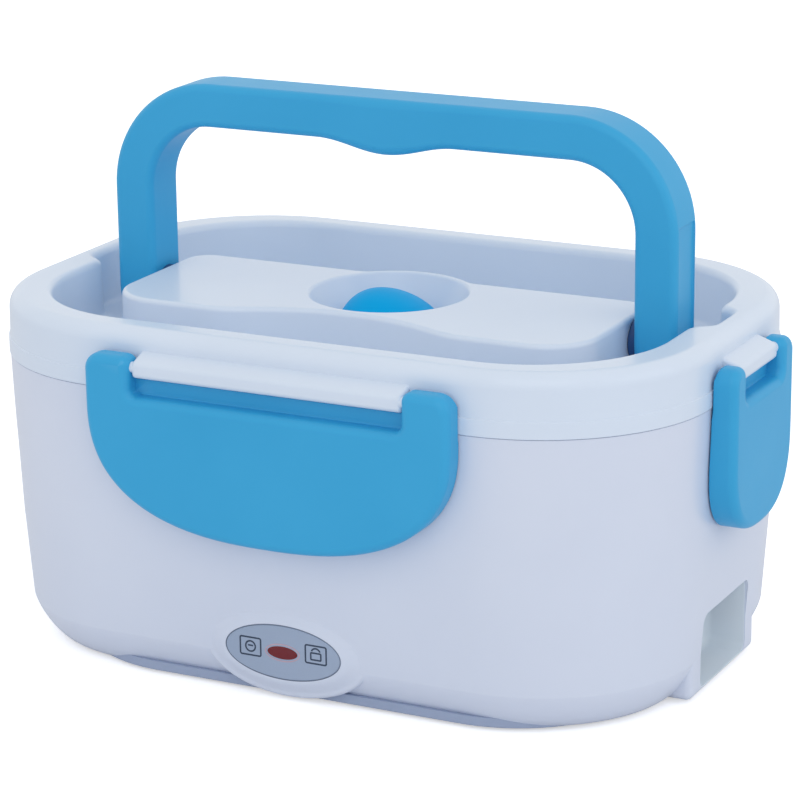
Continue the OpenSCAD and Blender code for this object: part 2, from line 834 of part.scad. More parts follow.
module lid_liner() {
  color("#F1F3F8")
    difference() {
      union() {
        plate_off = top_off - wall_t - loose - 0.3;
        loft([[plate_off, liner_z], [plate_off, liner_z + liner_t]]);
        ring(band_off - wall_t - 0.9, band_off - wall_t - 2.5, liner_z + liner_t - 0.5, lid_bottom + 2);
      }
      translate([0, vent_y, liner_z - over])
        cylinder(r = stem_r + 0.6, h = liner_t + 2 * over);
      for (i = [-1, 1], j = [-1, 0, 1])
        translate([i * steam_x, j * steam_y, liner_z - over])
          cylinder(r = steam_r, h = liner_t + 2 * over, $fn = 16);
    }
}

module lid_gasket() {
  color("#C9D2DC")
    ring(-4, -9, gasket_z, liner_z);
}

module vent_plug() {
  color("#19A4E0")
    translate([0, vent_y, 0]) {
      intersection() {
        translate([0, 0, island_z + 0.5 - dome_r])
          sphere(r = dome_r, $fn = 64);
        translate([0, 0, vent_floor_z + 2])
          cylinder(r = dome_r, h = 2 * dome_r);
      }
      translate([0, 0, vent_floor_z + 0.2])
        cylinder(r = vent_r - 1.8, h = 1.9, $fn = 64);
      translate([0, 0, liner_z - 1])
        cylinder(r = stem_r, h = vent_floor_z - liner_z + 1.5);
    }
}

// ---------- handle ----------

// Section of the handle, with rounded edges; the first size lies across the arch, the second along its depth.
module handle_section() {
  rr(leg_w, handle_t, handle_edge);
}

module handle() {
  half = handle_l / 2;
  mid_r = handle_r - leg_w / 2;
  bump_r = (bump_w * bump_w + bump_h * bump_h) / (2 * bump_h);
  color("#2E9BD0")
    difference() {
      translate([0, handle_y, 0]) {
        // grip, with a swelling for the hand below its middle
        translate([-half + handle_r, 0, handle_top - leg_w / 2])
          rotate([90, 0, 90])
            linear_extrude(2 * (half - handle_r))
              rotate(90)
                handle_section();
        translate([0, bump_t / 2, handle_top - leg_w])
          rotate([90, 0, 0])
            linear_extrude(bump_t)
              intersection() {
                translate([0, bump_r - bump_h])
                  circle(bump_r, $fn = 120);
                translate([-2 * bump_w, -bump_h - over])
                  square([4 * bump_w, bump_h + 2 * over]);
              }
        for (i = [0, 1])
          mirror([i, 0, 0]) {
            // corner of the arch and its leg
            translate([half - handle_r, 0, handle_top - handle_r])
              rotate([90, 0, 0])
                rotate_extrude(angle = 90, $fn = 72)
                  translate([mid_r, 0])
                    handle_section();
            translate([half - leg_w / 2, 0, handle_z])
              linear_extrude(handle_h - handle_r)
                handle_section();
            // foot of the leg, the same section turned round the pivot, with its disc and pin
            translate([half - leg_w / 2, 0, handle_z])
              rotate([0, 90, 0])
                rotate([0, 0, -90])
                  rotate_extrude(angle = 180)
                    intersection() {
                      rotate(90)
                        handle_section();
                      translate([0, -leg_w])
                        square([handle_t, 2 * leg_w]);
                    }
            translate([half, 0, handle_z])
              rotate([0, -90, 0]) {
                translate([0, 0, leg_w / 2])
                  cylinder(r = 7, h = leg_w / 2 + boss_l);
                translate([0, 0, leg_w])
                  cylinder(r = handle_pin_r, h = boss_l + 6.5, $fn = 32);
              }
          }
      }
      // shallow panel in the outer face of each leg
      for (i = [-1, 1])
        translate([i * half, handle_y, handle_z + 17])
          cube([1.2, handle_t - 5, 38], center = true);
    }
}

// ---------- latches ----------

// Flap outline seen from outside: straight sides, then a full curve down to the tip.
module latch_plan(k, grow = 0) {
  half = latch_w(k) / 2 + grow;
  z0 = curve_z(k);
  drop = z0 - latch_tip_z + grow;
  power = 0.8;
  polygon(concat([[half, pivot_z], [-half, pivot_z]],
    [for (a = [180 : -10 : 0])
      [half * sign(cos(a)) * pow(abs(cos(a)), power), z0 - drop * pow(sin(a), power)]]));
}

module latch(k) {
  half = latch_w(k) / 2;
  notch = half - ear_w(k);
  back = reach(k) + latch_back;
  catch_half = k % 2 == 0 ? 30 : 11;
  color("#2E9BD0")
    site(k)
      difference() {
        union() {
          translate([0, -back, 0])
            rotate([90, 0, 0])
              linear_extrude(2 * ear_r)
                latch_plan(k);
          translate([-half, -back - ear_r, pivot_z])
            rotate([0, 90, 0])
              cylinder(r = ear_r, h = 2 * half);
        }
        // hollow behind the face plate, below the ears
        intersection() {
          translate([0, -back + over, 0])
            rotate([90, 0, 0])
              linear_extrude(2 * ear_r - latch_t + over)
                latch_plan(k, -latch_t);
          difference() {
            translate([-half, -back - 2 * ear_r, latch_tip_z])
              cube([2 * half, 2 * ear_r + 2 * over, notch_z - 2 - latch_tip_z]);
            translate([-catch_half, -back - 2 * ear_r, catch_z])
              cube([2 * catch_half, latch_face - rib_out - catch_gap, catch_h]);
          }
        }
        // notch that shows the lid ledge
        translate([-notch, -back - 2 * ear_r - over, notch_z])
          cube([2 * notch, 2 * ear_r + 2 * over, 40]);
        translate([-ledge_half(k) - pin_l - 0.4, -back - ear_r, pivot_z])
          rotate([0, 90, 0])
            cylinder(r = latch_pin_r + pin_gap, h = 2 * (ledge_half(k) + pin_l + 0.4), $fn = 32);
      }
}

module front_latch() {
  latch(0);
}

module right_latch() {
  latch(1);
}

module back_latch() {
  latch(2);
}

module left_latch() {
  latch(3);
}

base_shell();
bottom_cover();
cover_screws();
rubber_feet();
inner_well();
plate_gasket();
heating_plate();
heating_element();
plate_straps();
strap_screws();
element_clamp();
thermostat();
thermal_fuse();
indicator_board();
indicator_led();
indicator_lens();
panel_plate();
mains_inlet();
mains_pins();
wiring();
food_tray();
side_dish();
side_dish_lid();
lid_shell();
lid_liner();
lid_gasket();
vent_plug();
handle();
front_latch();
back_latch();
left_latch();
right_latch();
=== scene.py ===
"""Looks of an electric lunch box: a warming base, a lift-off lid with four latches and a folding handle, a
steam vent plug and lift-out food containers. Shapes are worked out in millimetres and stored in metres."""
import math

import bmesh
import bpy
import numpy as np
from mathutils import Matrix, Vector


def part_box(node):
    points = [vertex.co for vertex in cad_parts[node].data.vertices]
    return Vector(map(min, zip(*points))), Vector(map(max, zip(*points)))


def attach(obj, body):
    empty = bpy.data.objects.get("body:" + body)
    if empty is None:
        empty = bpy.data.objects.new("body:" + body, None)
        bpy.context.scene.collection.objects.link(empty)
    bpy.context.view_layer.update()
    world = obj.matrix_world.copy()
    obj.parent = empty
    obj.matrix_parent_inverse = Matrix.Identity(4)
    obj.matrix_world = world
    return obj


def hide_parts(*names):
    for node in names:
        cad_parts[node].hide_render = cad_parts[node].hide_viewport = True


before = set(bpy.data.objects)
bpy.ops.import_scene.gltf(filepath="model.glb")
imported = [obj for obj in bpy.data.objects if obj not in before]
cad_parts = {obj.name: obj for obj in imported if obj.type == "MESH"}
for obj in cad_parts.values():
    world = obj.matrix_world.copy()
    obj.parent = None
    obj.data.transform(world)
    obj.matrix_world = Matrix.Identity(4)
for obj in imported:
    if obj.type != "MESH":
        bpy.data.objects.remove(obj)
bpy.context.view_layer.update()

# ---- Base shell ----
# The lower half of the box: one glossy white polypropylene moulding with a slight taper, its foot rounded
# under. A ledge inside its mouth carries the inner well. Offsets count outwards from the nominal wall.

MM = 0.001
body_l = 222
body_w = 149
corner_r = 51
plan_step = 1.2
low_off = -2.4
low_z = 13
under_run = 8
under_z = 1.2
under_power = 1.54  # 1 gives a quarter of an ellipse, 2 a straight bevel
ledge_z = 76.6
ledge_top = 79
floor_low = 4
floor_top = 6.4


def span(node):
    """Lowest and highest corner of a CAD node, in millimetres."""
    low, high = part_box(node)
    return np.array(low) / MM, np.array(high) / MM


base_top = span("base_shell")[1][2]


def quarter(count, start=0.0, end=90.0):
    """Angles in radians, evenly spaced from start to end degrees, both ends kept."""
    return np.radians(np.linspace(start, end, count))


def circle(count):
    """Angles in radians once round, the first one not repeated."""
    return np.linspace(0, 2 * np.pi, count, endpoint=False)


def plan(half_l, half_w, r, step):
    """Points and outward normals round a rectangle with round corners: four quarter circles about the corner
    centres, joined by straights that are divided at about the given step."""
    points, normals = [], []
    for k in range(4):
        a = quarter(max(4, round(math.pi / 2 * r / step)), 90 * k - 90, 90 * k)
        normal = np.stack([np.cos(a), np.sin(a)], 1)
        sign = (1 if k in (0, 1) else -1, 1 if k in (1, 2) else -1)
        points.append(normal * r + np.array([sign[0] * (half_l - r), sign[1] * (half_w - r)]))
        normals.append(normal)
    loop, out = [], []
    for k in range(4):
        loop.append(points[k])
        out.append(normals[k])
        ahead = points[(k + 1) % 4][0]
        parts = int(np.linalg.norm(ahead - points[k][-1]) / step)
        t = np.linspace(0, 1, parts + 2)[1:-1, None]
        loop.append(points[k][-1] * (1 - t) + ahead * t)
        out.append(np.repeat(normals[k][-1:], len(t), 0))
    return np.concatenate(loop), np.concatenate(out)


def carried(profile, points, normals):
    """A profile of (offset, height) pairs carried round a plan: each point moves along its own normal."""
    profile = np.asarray(profile, float)
    flat = points[None] + profile[:, :1, None] * normals[None]
    high = np.broadcast_to(profile[:, 1, None, None], flat.shape[:2] + (1,))
    return np.concatenate([flat, high], 2)


def facets(rows, columns, rows_close, columns_close):
    """Quads between neighbours of a grid of points, row by row."""
    i, j = np.arange(rows - (not rows_close)), np.arange(columns - (not columns_close))
    i, j = np.meshgrid(i, j, indexing="ij")
    n, m = (i + 1) % rows, (j + 1) % columns
    return np.stack([i * columns + j, i * columns + m, n * columns + m, n * columns + j], -1).reshape(-1, 4)


def linked(name, mesh, crease):
    """An object in the scene from a mesh, smooth but for edges sharper than the crease angle in degrees."""
    mesh.polygons.foreach_set("use_smooth", np.ones(len(mesh.polygons), bool))
    mesh.set_sharp_from_angle(angle=math.radians(crease))
    piece = bpy.data.objects.new(name, mesh)
    bpy.context.scene.collection.objects.link(piece)
    return piece


def surface(name, grids, crease=40, rows_close=False, columns_close=True):
    """One object from grids of points in millimetres: doubles are merged, each open end of a grid is filled
    with one flat face, and faces are turned outwards."""
    whole = bmesh.new()
    for grid in grids:
        grid = np.asarray(grid, float)
        quads = facets(grid.shape[0], grid.shape[1], rows_close, columns_close)
        mesh = bpy.data.meshes.new(name)
        mesh.from_pydata(grid.reshape(-1, 3) * MM, [], quads.tolist())
        part = bmesh.new()
        part.from_mesh(mesh)
        bpy.data.meshes.remove(mesh)
        bmesh.ops.remove_doubles(part, verts=part.verts, dist=0.002 * MM)
        bmesh.ops.dissolve_degenerate(part, edges=part.edges, dist=0.001 * MM)
        rims = [e for e in part.edges if e.is_boundary]
        if rims:
            bmesh.ops.holes_fill(part, edges=rims)
        bmesh.ops.recalc_face_normals(part, faces=part.faces)
        mesh = bpy.data.meshes.new(name)
        part.to_mesh(mesh)
        part.free()
        whole.from_mesh(mesh)
        bpy.data.meshes.remove(mesh)
    mesh = bpy.data.meshes.new(name)
    whole.to_mesh(mesh)
    whole.free()
    return linked(name, mesh, crease)


def cut(piece, cutter, crease=40, operation="DIFFERENCE"):
    """Takes the cutter's volume out of the piece, or adds it as a union, and deletes the cutter."""
    carve = piece.modifiers.new("cut", "BOOLEAN")
    carve.operation = operation
    carve.solver = "EXACT"
    carve.object = cutter
    done = bpy.data.meshes.new_from_object(piece.evaluated_get(bpy.context.evaluated_depsgraph_get()))
    piece.modifiers.clear()
    old = piece.data
    piece.data = done
    bpy.data.meshes.remove(old)
    bpy.data.objects.remove(cutter)
    piece.data.set_sharp_from_angle(angle=math.radians(crease))
    return piece


def finished(piece, material, slot, body, *nodes):
    """Gives a piece its material, keeps its flat faces flat in the shading, and rides it on its body. The
    slot is not used."""
    piece.data.materials.clear()
    piece.data.materials.append(material)
    shade = piece.modifiers.new("flat faces", "WEIGHTED_NORMAL")
    shade.keep_sharp = True
    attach(piece, body)
    if nodes:
        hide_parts(*nodes)
    return piece


def moulding():
    """Node group of a moulded surface: slow drift of the tone, smudges in the gloss, and the fine skin of the
    mould."""
    group = bpy.data.node_groups.new("moulding", "ShaderNodeTree")
    face = group.interface
    for name, value in (("Drift scale", 25.0), ("Skin scale", 1800.0), ("Skin depth", 0.1), ("Gloss", 0.3),
                        ("Smudge", 0.1)):
        socket = face.new_socket(name, in_out="INPUT", socket_type="NodeSocketFloat")
        socket.default_value = value
    face.new_socket("Tone", in_out="OUTPUT", socket_type="NodeSocketFloat")
    face.new_socket("Roughness", in_out="OUTPUT", socket_type="NodeSocketFloat")
    face.new_socket("Normal", in_out="OUTPUT", socket_type="NodeSocketVector")
    nodes, links = group.nodes, group.links
    given, out = nodes.new("NodeGroupInput"), nodes.new("NodeGroupOutput")
    place = nodes.new("ShaderNodeTexCoord")
    drift, smudge, skin = (nodes.new("ShaderNodeTexNoise") for _ in range(3))
    drift.inputs["Detail"].default_value = 3
    smudge.inputs["Detail"].default_value = 6
    smudge.inputs["Roughness"].default_value = 0.65
    skin.inputs["Detail"].default_value = 2
    for noise in (drift, smudge, skin):
        links.new(place.outputs["Object"], noise.inputs["Vector"])
    links.new(given.outputs["Drift scale"], drift.inputs["Scale"])
    finer = nodes.new("ShaderNodeMath")
    finer.operation = "MULTIPLY"
    finer.inputs[1].default_value = 2.6
    links.new(given.outputs["Drift scale"], finer.inputs[0])
    links.new(finer.outputs[0], smudge.inputs["Scale"])
    links.new(given.outputs["Skin scale"], skin.inputs["Scale"])
    links.new(drift.outputs["Fac"], out.inputs["Tone"])
    spread = nodes.new("ShaderNodeMath")
    spread.operation = "MULTIPLY_ADD"
    links.new(smudge.outputs["Fac"], spread.inputs[0])
    links.new(given.outputs["Smudge"], spread.inputs[1])
    links.new(given.outputs["Gloss"], spread.inputs[2])
    links.new(spread.outputs[0], out.inputs["Roughness"])
    bump = nodes.new("ShaderNodeBump")
    bump.inputs["Distance"].default_value = 0.02 * MM
    links.new(given.outputs["Skin depth"], bump.inputs["Strength"])
    links.new(skin.outputs["Fac"], bump.inputs["Height"])
    links.new(bump.outputs["Normal"], out.inputs["Normal"])
    return group


skin_group = moulding()


def plastic(name, shade, light, gloss, coat=0.0, drift=25.0, skin=1800.0, depth=0.1, smudge=0.1, metal=0.0,
            shine=0.5, edge_highlight=None):
    """A moulded finish between two close colours; edge_highlight is a painted highlight, a lighter colour
    mixed onto sharp convex edges by their pointiness.
    """
    material = bpy.data.materials.new(name)
    material.use_nodes = True
    nodes, links = material.node_tree.nodes, material.node_tree.links
    shader = nodes["Principled BSDF"]
    shader.inputs["Metallic"].default_value = metal
    shader.inputs["Specular IOR Level"].default_value = shine
    shader.inputs["Coat Weight"].default_value = coat
    shader.inputs["Coat Roughness"].default_value = 0.08
    group = nodes.new("ShaderNodeGroup")
    group.node_tree = skin_group
    for socket, value in (("Drift scale", drift), ("Skin scale", skin), ("Skin depth", depth),
                          ("Gloss", gloss), ("Smudge", smudge)):
        group.inputs[socket].default_value = value
    mix = nodes.new("ShaderNodeMix")
    mix.data_type = "RGBA"
    mix.inputs[6].default_value = (*shade, 1)
    mix.inputs[7].default_value = (*light, 1)
    links.new(group.outputs["Tone"], mix.inputs[0])
    colour = mix.outputs[2]
    # Painted highlight: convex edges, found by pointiness, are mixed towards a lighter colour.
    if edge_highlight:
        edge = nodes.new("ShaderNodeNewGeometry")
        ramp = nodes.new("ShaderNodeMapRange")
        ramp.inputs["From Min"].default_value = 0.53
        ramp.inputs["From Max"].default_value = 0.62
        ramp.inputs["To Max"].default_value = 0.25
        links.new(edge.outputs["Pointiness"], ramp.inputs["Value"])
        highlight_mix = nodes.new("ShaderNodeMix")
        highlight_mix.data_type = "RGBA"
        highlight_mix.inputs[7].default_value = (*edge_highlight, 1)
        links.new(ramp.outputs[0], highlight_mix.inputs[0])
        links.new(colour, highlight_mix.inputs[6])
        colour = highlight_mix.outputs[2]
    links.new(colour, shader.inputs["Base Color"])
    links.new(group.outputs["Roughness"], shader.inputs["Roughness"])
    links.new(group.outputs["Normal"], shader.inputs["Normal"])
    return material


white = plastic("white polypropylene", (0.64, 0.70, 0.84), (0.70, 0.76, 0.89), 0.28, coat=0.15)

wall_loop = plan(body_l / 2, body_w / 2, corner_r, plan_step)
round_under = [(low_off - under_run * (1 - math.sin(a) ** under_power),
                under_z + (low_z - under_z) * (1 - math.cos(a) ** under_power)) for a in quarter(12)]
taper = [(-1.9, 20), (-1.2, 30), (-0.5, 40), (-0.1, 50), (0.3, 60), (0.75, 70), (1.1, 80),
         (1.38, base_top - 0.3), (1.33, base_top - 0.08), (1.2, base_top)]
inside = [(-0.75, base_top), (-1.0, base_top - 0.2), (-1.0, ledge_top + 0.2), (-1.15, ledge_top),
          (-7.4, ledge_top), (-7.4, ledge_z), (-1.7, ledge_z), (-4.8, low_z), (-6.8, floor_top),
          (-21, floor_top), (-21, floor_low), (-12.6, floor_low), (-12.6, 1.4), (-12.4, under_z)]
base = surface("base_wall", [carried(round_under + taper + inside, *wall_loop)], rows_close=True)

# ---- Latch ribs ----
# Four ribs stand on the walls of the base, moulded with it; the bead of each latch snaps under its rib.
# Latch 0 is in front, 1 on the right, 2 at the back and 3 on the left, here and below.

tip_z = span("front_latch")[0][2]
catch_z = tip_z + 9.6
bead_h = 2
rib_half = (30, 12)
rib_h = 2
rib_out = 3.1
rib_low = catch_z + bead_h + 1


def block(low, high, r, fine=6):
    """A box with all its edges rounded: a ball of radius r pulled apart along the three axes, closed by flat
    ends."""
    low, high = np.asarray(low, float), np.asarray(high, float)
    turn = np.concatenate([quarter(fine, 90 * k, 90 * k + 90) for k in range(4)])
    rise = np.concatenate([quarter(fine, -90, 0), quarter(fine, 0, 90)])
    sx = np.repeat([1, -1, -1, 1], fine)
    sy = np.repeat([1, 1, -1, -1], fine)
    sz = np.repeat([-1, 1], fine)
    half = (high - low) / 2 - r
    x = r * np.cos(rise)[:, None] * np.cos(turn) + half[0] * sx
    y = r * np.cos(rise)[:, None] * np.sin(turn) + half[1] * sy
    z = np.broadcast_to((r * np.sin(rise) + half[2] * sz)[:, None], x.shape)
    return np.stack([x, y, z], 2) + (low + high) / 2


def site(grid, k):
    """A shape drawn at the front latch, turned by k quarters about the middle."""
    c, s = [(1, 0), (0, 1), (-1, 0), (0, -1)][k]
    x, y, z = grid[..., 0], grid[..., 1], grid[..., 2]
    return np.stack([x * c - y * s, x * s + y * c, z], -1)


def reach(k):
    """Distance from the middle to the nominal wall at latch k."""
    return body_w / 2 if k % 2 == 0 else body_l / 2


def rib(k):
    """The rib at latch k, rooted 1 mm inside the wall."""
    half = rib_half[k % 2]
    low = (-half, -(reach(k) + rib_out), rib_low)
    return site(block(low, (half, -(reach(k) - 1), rib_low + rib_h), 0.6, 4), k)


# ---- Inlet housing ----
# Low in the right end the wall runs on down as a foot, and the mains inlet sits at the back of a recess in
# it. A thin pale sheet just inside the recess, ending just inside the wall, is painted light over its shade.

inlet_x = body_l / 2 + low_off
inlet_back = 95
mouth_half = 18.4
mouth_top = 25.6
mouth_r = 3.2
sill = 1.2
housing_wall = 2
foot_half = 26
foot_low = 1.1
foot_r = 2.2
light_sheet_t = 0.3
light_sheet_gap = 0.02

foot = block((inlet_back - 2, -foot_half, foot_low), (inlet_x, foot_half, low_z + 2), foot_r, 8)
housing = block((inlet_back - 2, -mouth_half - housing_wall, foot_low + 0.2),
                (inlet_x - 1, mouth_half + housing_wall, mouth_top + housing_wall), 0.3, 3)


def mouth(name, inset, run, r):
    """The recess as a solid: a box rounded at its edges, drawn in by an inset, that runs out through the
    wall."""
    low = (inlet_back + inset, -mouth_half + inset, foot_low + sill + inset)
    return surface(name, [block(low, (inlet_x + run, mouth_half - inset, mouth_top - inset), r, 8)])


cut(base, surface("inlet_foot", [foot]), operation="UNION")
cut(base, surface("inlet_box", [housing]), operation="UNION")
cut(base, mouth("mouth", 0, 12, mouth_r))
# Painted light: a pale sheet laid just inside the recess lightens its shade.
recess_light_paint = plastic("painted recess light", (0.76, 0.84, 0.91), (0.80, 0.88, 0.95), 0.45)
light_sheet = mouth("inlet_light_sheet", light_sheet_gap, 6, mouth_r)
cut(light_sheet, mouth("light_sheet_inside", light_sheet_gap + light_sheet_t, 12, mouth_r - light_sheet_t))
cut(light_sheet, surface("light_sheet_end", [block((inlet_x - 0.3, -40, -20), (inlet_x + 20, 40, 50), 0.1, 3)]))
finished(light_sheet, recess_light_paint, "white_plastic", "base")
rib_piece = surface("latch_ribs", [rib(k) for k in range(4)])
finished(base, white, "white_plastic", "base", "base_shell")
finished(rib_piece, white, "white_plastic", "base")

# ---- Panel tab ----
# Low in the front the wall runs on down as an oval tab and swells out a little to carry the lamp panel.
# Moulded in one with the base.

panel_low, panel_high = span("panel_plate")
panel_half = (panel_high[0], (panel_high[2] - panel_low[2]) / 2)
panel_z = (panel_high[2] + panel_low[2]) / 2
panel_face = panel_low[1] + 0.2
pocket_gap = 0.3
pocket_depth = 1.3
tab_half = (panel_half[0] + 8.4, panel_half[1] + 6.6)
tab_edge = 1.3
run_on_slope = 0.06
wall_heights = [height for offset, height in taper]
wall_offsets = [offset for offset, height in taper]


def wall_at(z):
    """Depth of the front wall at a height: the taper line, run on straight below its lowest point."""
    run_on = low_off + (z - low_z) * run_on_slope
    return -(body_w / 2 + np.where(z < wall_heights[0], run_on, np.interp(z, wall_heights, wall_offsets)))


def oval_ring(half_x, half_z, depth, count):
    """One ring about the panel's middle, at a depth that is one number or one per point."""
    theta = circle(count)
    return np.stack([half_x * np.cos(theta), np.broadcast_to(depth, count),
                     panel_z + half_z * np.sin(theta)], 1)


def tab():
    """Rings between the panel's oval and the tab's oval: the depth eases from the panel's plane to just under
    the wall, then a quarter round turns the edge back, and a last ring lies inside the base."""
    count = 240
    inner = np.array([panel_half[0] + pocket_gap, panel_half[1] + pocket_gap])
    outer = np.array(tab_half) - tab_edge
    rings = [oval_ring(*inner, panel_face + pocket_depth, count)]
    for t in np.linspace(0, 1, 22):
        size = inner + (outer - inner) * t
        smooth = t * t * (3 - 2 * t)
        wall = wall_at(panel_z + size[1] * np.sin(circle(count))) + 0.12
        rings.append(oval_ring(*size, panel_face * (1 - smooth) + wall * smooth, count))
    rim = rings[-1][:, 1]
    for a in quarter(7)[1:]:
        rings.append(oval_ring(*(outer + tab_edge * math.sin(a)), rim + tab_edge * (1 - math.cos(a)), count))
    rings.append(oval_ring(*(outer + tab_edge), -body_w / 2 + 8, count))
    return np.array(rings)


finished(surface("panel_tab", [tab()]), white, "white_plastic", "base")

# ---- Lamp panel ----
# A matt grey-blue oval plate is glued into its pocket, with a red window for the lamp and a printed sign on
# each side of it: a ring with a bar for the mains on the left, and a lidded box for the food on the right.

panel_grey = plastic("matt panel", (0.30, 0.38, 0.52), (0.37, 0.45, 0.60), 0.45, depth=0.3)
ink = plastic("printed ink", (0.022, 0.04, 0.08), (0.034, 0.055, 0.10), 0.5, depth=0.2)
rim_grey = plastic("panel groove", (0.13, 0.17, 0.25), (0.17, 0.21, 0.30), 0.5)
red = plastic("red lamp window", (0.13, 0.010, 0.016), (0.19, 0.015, 0.022), 0.2, coat=0.2, depth=0.0,
              shine=0.3)
frame_pink = plastic("window collar", (0.50, 0.34, 0.42), (0.56, 0.40, 0.48), 0.4)
plate_face = panel_low[1]
groove_out = 0.28
lens_front = span("indicator_lens")[0][1]
lens_half = (5.4, 2.4)
collar_out = 0.35
line_w = 0.5
print_y = plate_face - 0.03
sign_half = (3.4, 2.75)
left_sign = (-10.6, panel_z + 0.5)
right_sign = (11.0, panel_z + 1.1)


def oval(half, profile, count=200):
    """A profile of (inset, depth) pairs carried round an oval that shrinks by the inset all round. Depths
    count back from the face of the plate."""
    return np.array([oval_ring(half[0] - s, half[1] - s, plate_face + d, count) for s, d in profile])


plate = oval(panel_half, [(0, 1.4), (0, 0.35), (0.15, 0.1), (0.45, 0)])
finished(surface("lamp_panel", [plate]), panel_grey, "panel_grey", "base", "panel_plate")
groove = oval((panel_half[0] + groove_out, panel_half[1] + groove_out),
              [(0, 1.4), (0, 0.22), (0.3, 0.22), (0.3, 1.4)])
finished(surface("panel_groove", [groove], rows_close=True), rim_grey, "panel_grey", "base")


def strip(points, width, depth, closed):
    """A printed line: the path's points pushed half a width to each side, with square corners mitred."""
    points = np.asarray(points, float)
    ahead = np.roll(points, -1, 0) - points
    behind = points - np.roll(points, 1, 0)
    if not closed:
        ahead[-1], behind[0] = behind[-1], ahead[0]
    ahead /= np.linalg.norm(ahead, axis=1)[:, None]
    behind /= np.linalg.norm(behind, axis=1)[:, None]
    mean = ahead + behind
    mean /= np.linalg.norm(mean, axis=1)[:, None]
    side = np.stack([-mean[:, 1], mean[:, 0]], 1) / np.maximum((mean * ahead).sum(1), 0.3)[:, None]
    left, right = points + side * width / 2, points - side * width / 2
    rows = [(left, depth), (right, depth), (right, depth + 0.06), (left, depth + 0.06)]
    return np.array([np.stack([p[:, 0], np.full(len(p), d), p[:, 1]], 1) for p, d in rows])


def rounded_loop(x, z, half_x, half_z, r):
    """A rectangle with small round corners about (x, z)."""
    a = np.concatenate([quarter(5, 90 * k, 90 * k + 90) for k in range(4)])
    sx, sz = np.repeat([1, -1, -1, 1], 5), np.repeat([1, 1, -1, -1], 5)
    return np.stack([x + sx * (half_x - r) + r * np.cos(a), z + sz * (half_z - r) + r * np.sin(a)], 1)


def arc(x, z, r, a):
    """Points on a circle about (x, z) at the given angles."""
    return np.stack([x + r * np.cos(a), z + r * np.sin(a)], 1)


bar = np.array(left_sign) + np.array([[-0.85, 0.25], [0.85, 0.25]])
sign_paths = [
    (rounded_loop(*left_sign, *sign_half, 0.5), True),
    (rounded_loop(*right_sign, *sign_half, 0.5), True),
    (arc(*left_sign, 1.6, circle(48)), True),
    (bar, False),
    (rounded_loop(right_sign[0], right_sign[1] - 0.55, 1.65, 1.05, 0.25), True),
    (arc(right_sign[0], right_sign[1] + 0.5, 1.45, quarter(20, 20, 160)), False),
]
signs = [surface("sign", [strip(path, line_w, print_y, closed)], rows_close=True, columns_close=closed)
         for path, closed in sign_paths]


def joined(name, pieces):
    """One object from several, each already placed."""
    whole = bmesh.new()
    for piece in pieces:
        whole.from_mesh(piece.data)
        bpy.data.objects.remove(piece)
    mesh = bpy.data.meshes.new(name)
    whole.to_mesh(mesh)
    whole.free()
    return linked(name, mesh, 40)


finished(joined("panel_signs", signs), ink, "panel_grey", "base")

lens_root = -body_w / 2 + 7 - plate_face
lens_rise = lens_front - plate_face
bulge = [(0, lens_root), (0, lens_rise + 0.35), (0.2, lens_rise + 0.15), (0.7, lens_rise + 0.04),
         (1.3, lens_rise)]
window = oval(lens_half, bulge, 120)
finished(surface("lamp_window", [window]), red, "red_lens", "base", "indicator_lens")
collar = oval((lens_half[0] + collar_out, lens_half[1] + collar_out),
              [(0, 0.3), (0, -0.05), (0.33, -0.08), (0.33, 0.3)], 120)
finished(surface("window_collar", [collar], rows_close=True), frame_pink, "panel_grey", "base")

# ---- Mains inlet, floor cover, screws and feet ----
# A grey two-pin inlet sits at the back of the recess. A grey cover closes the floor and is held by four steel
# screws; its broad step stands out below the wall in front and behind, and carries four rubber feet.

grey = plastic("grey polypropylene", (0.31, 0.38, 0.54), (0.37, 0.44, 0.61), 0.45, depth=0.25)
socket_grey = plastic("socket plastic", (0.20, 0.23, 0.29), (0.25, 0.28, 0.34), 0.4)
black = plastic("black plastic", (0.02, 0.021, 0.024), (0.032, 0.033, 0.037), 0.4)
rubber = plastic("foot rubber", (0.018, 0.018, 0.02), (0.03, 0.03, 0.033), 0.75, depth=0.5, skin=900.0)
steel = plastic("zinc-plated steel", (0.50, 0.51, 0.53), (0.60, 0.61, 0.63), 0.25, metal=1.0, drift=60.0)
brass = plastic("brass pins", (0.72, 0.55, 0.24), (0.80, 0.64, 0.32), 0.18, metal=1.0, drift=80.0)
cover_low, cover_high = span("bottom_cover")
cover_z = cover_low[2]
step_half_l = 92
step_r = 42
step_shift = 4
screw_inset = (27, 27.5)
hole_r = 3.6


def dress(node, material):
    """Gives a carried-over CAD node its finish."""
    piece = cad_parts[node]
    piece.data.materials.clear()
    piece.data.materials.append(material)


def screw_hole(x, y):
    """A short upright cylinder that opens the cover round one screw head."""
    a = circle(48)
    rings = [np.stack([x + hole_r * np.cos(a), y + hole_r * np.sin(a), np.full(48, z)], 1)
             for z in (-1.0, 3.2)]
    return surface("screw_hole", [np.array(rings)])


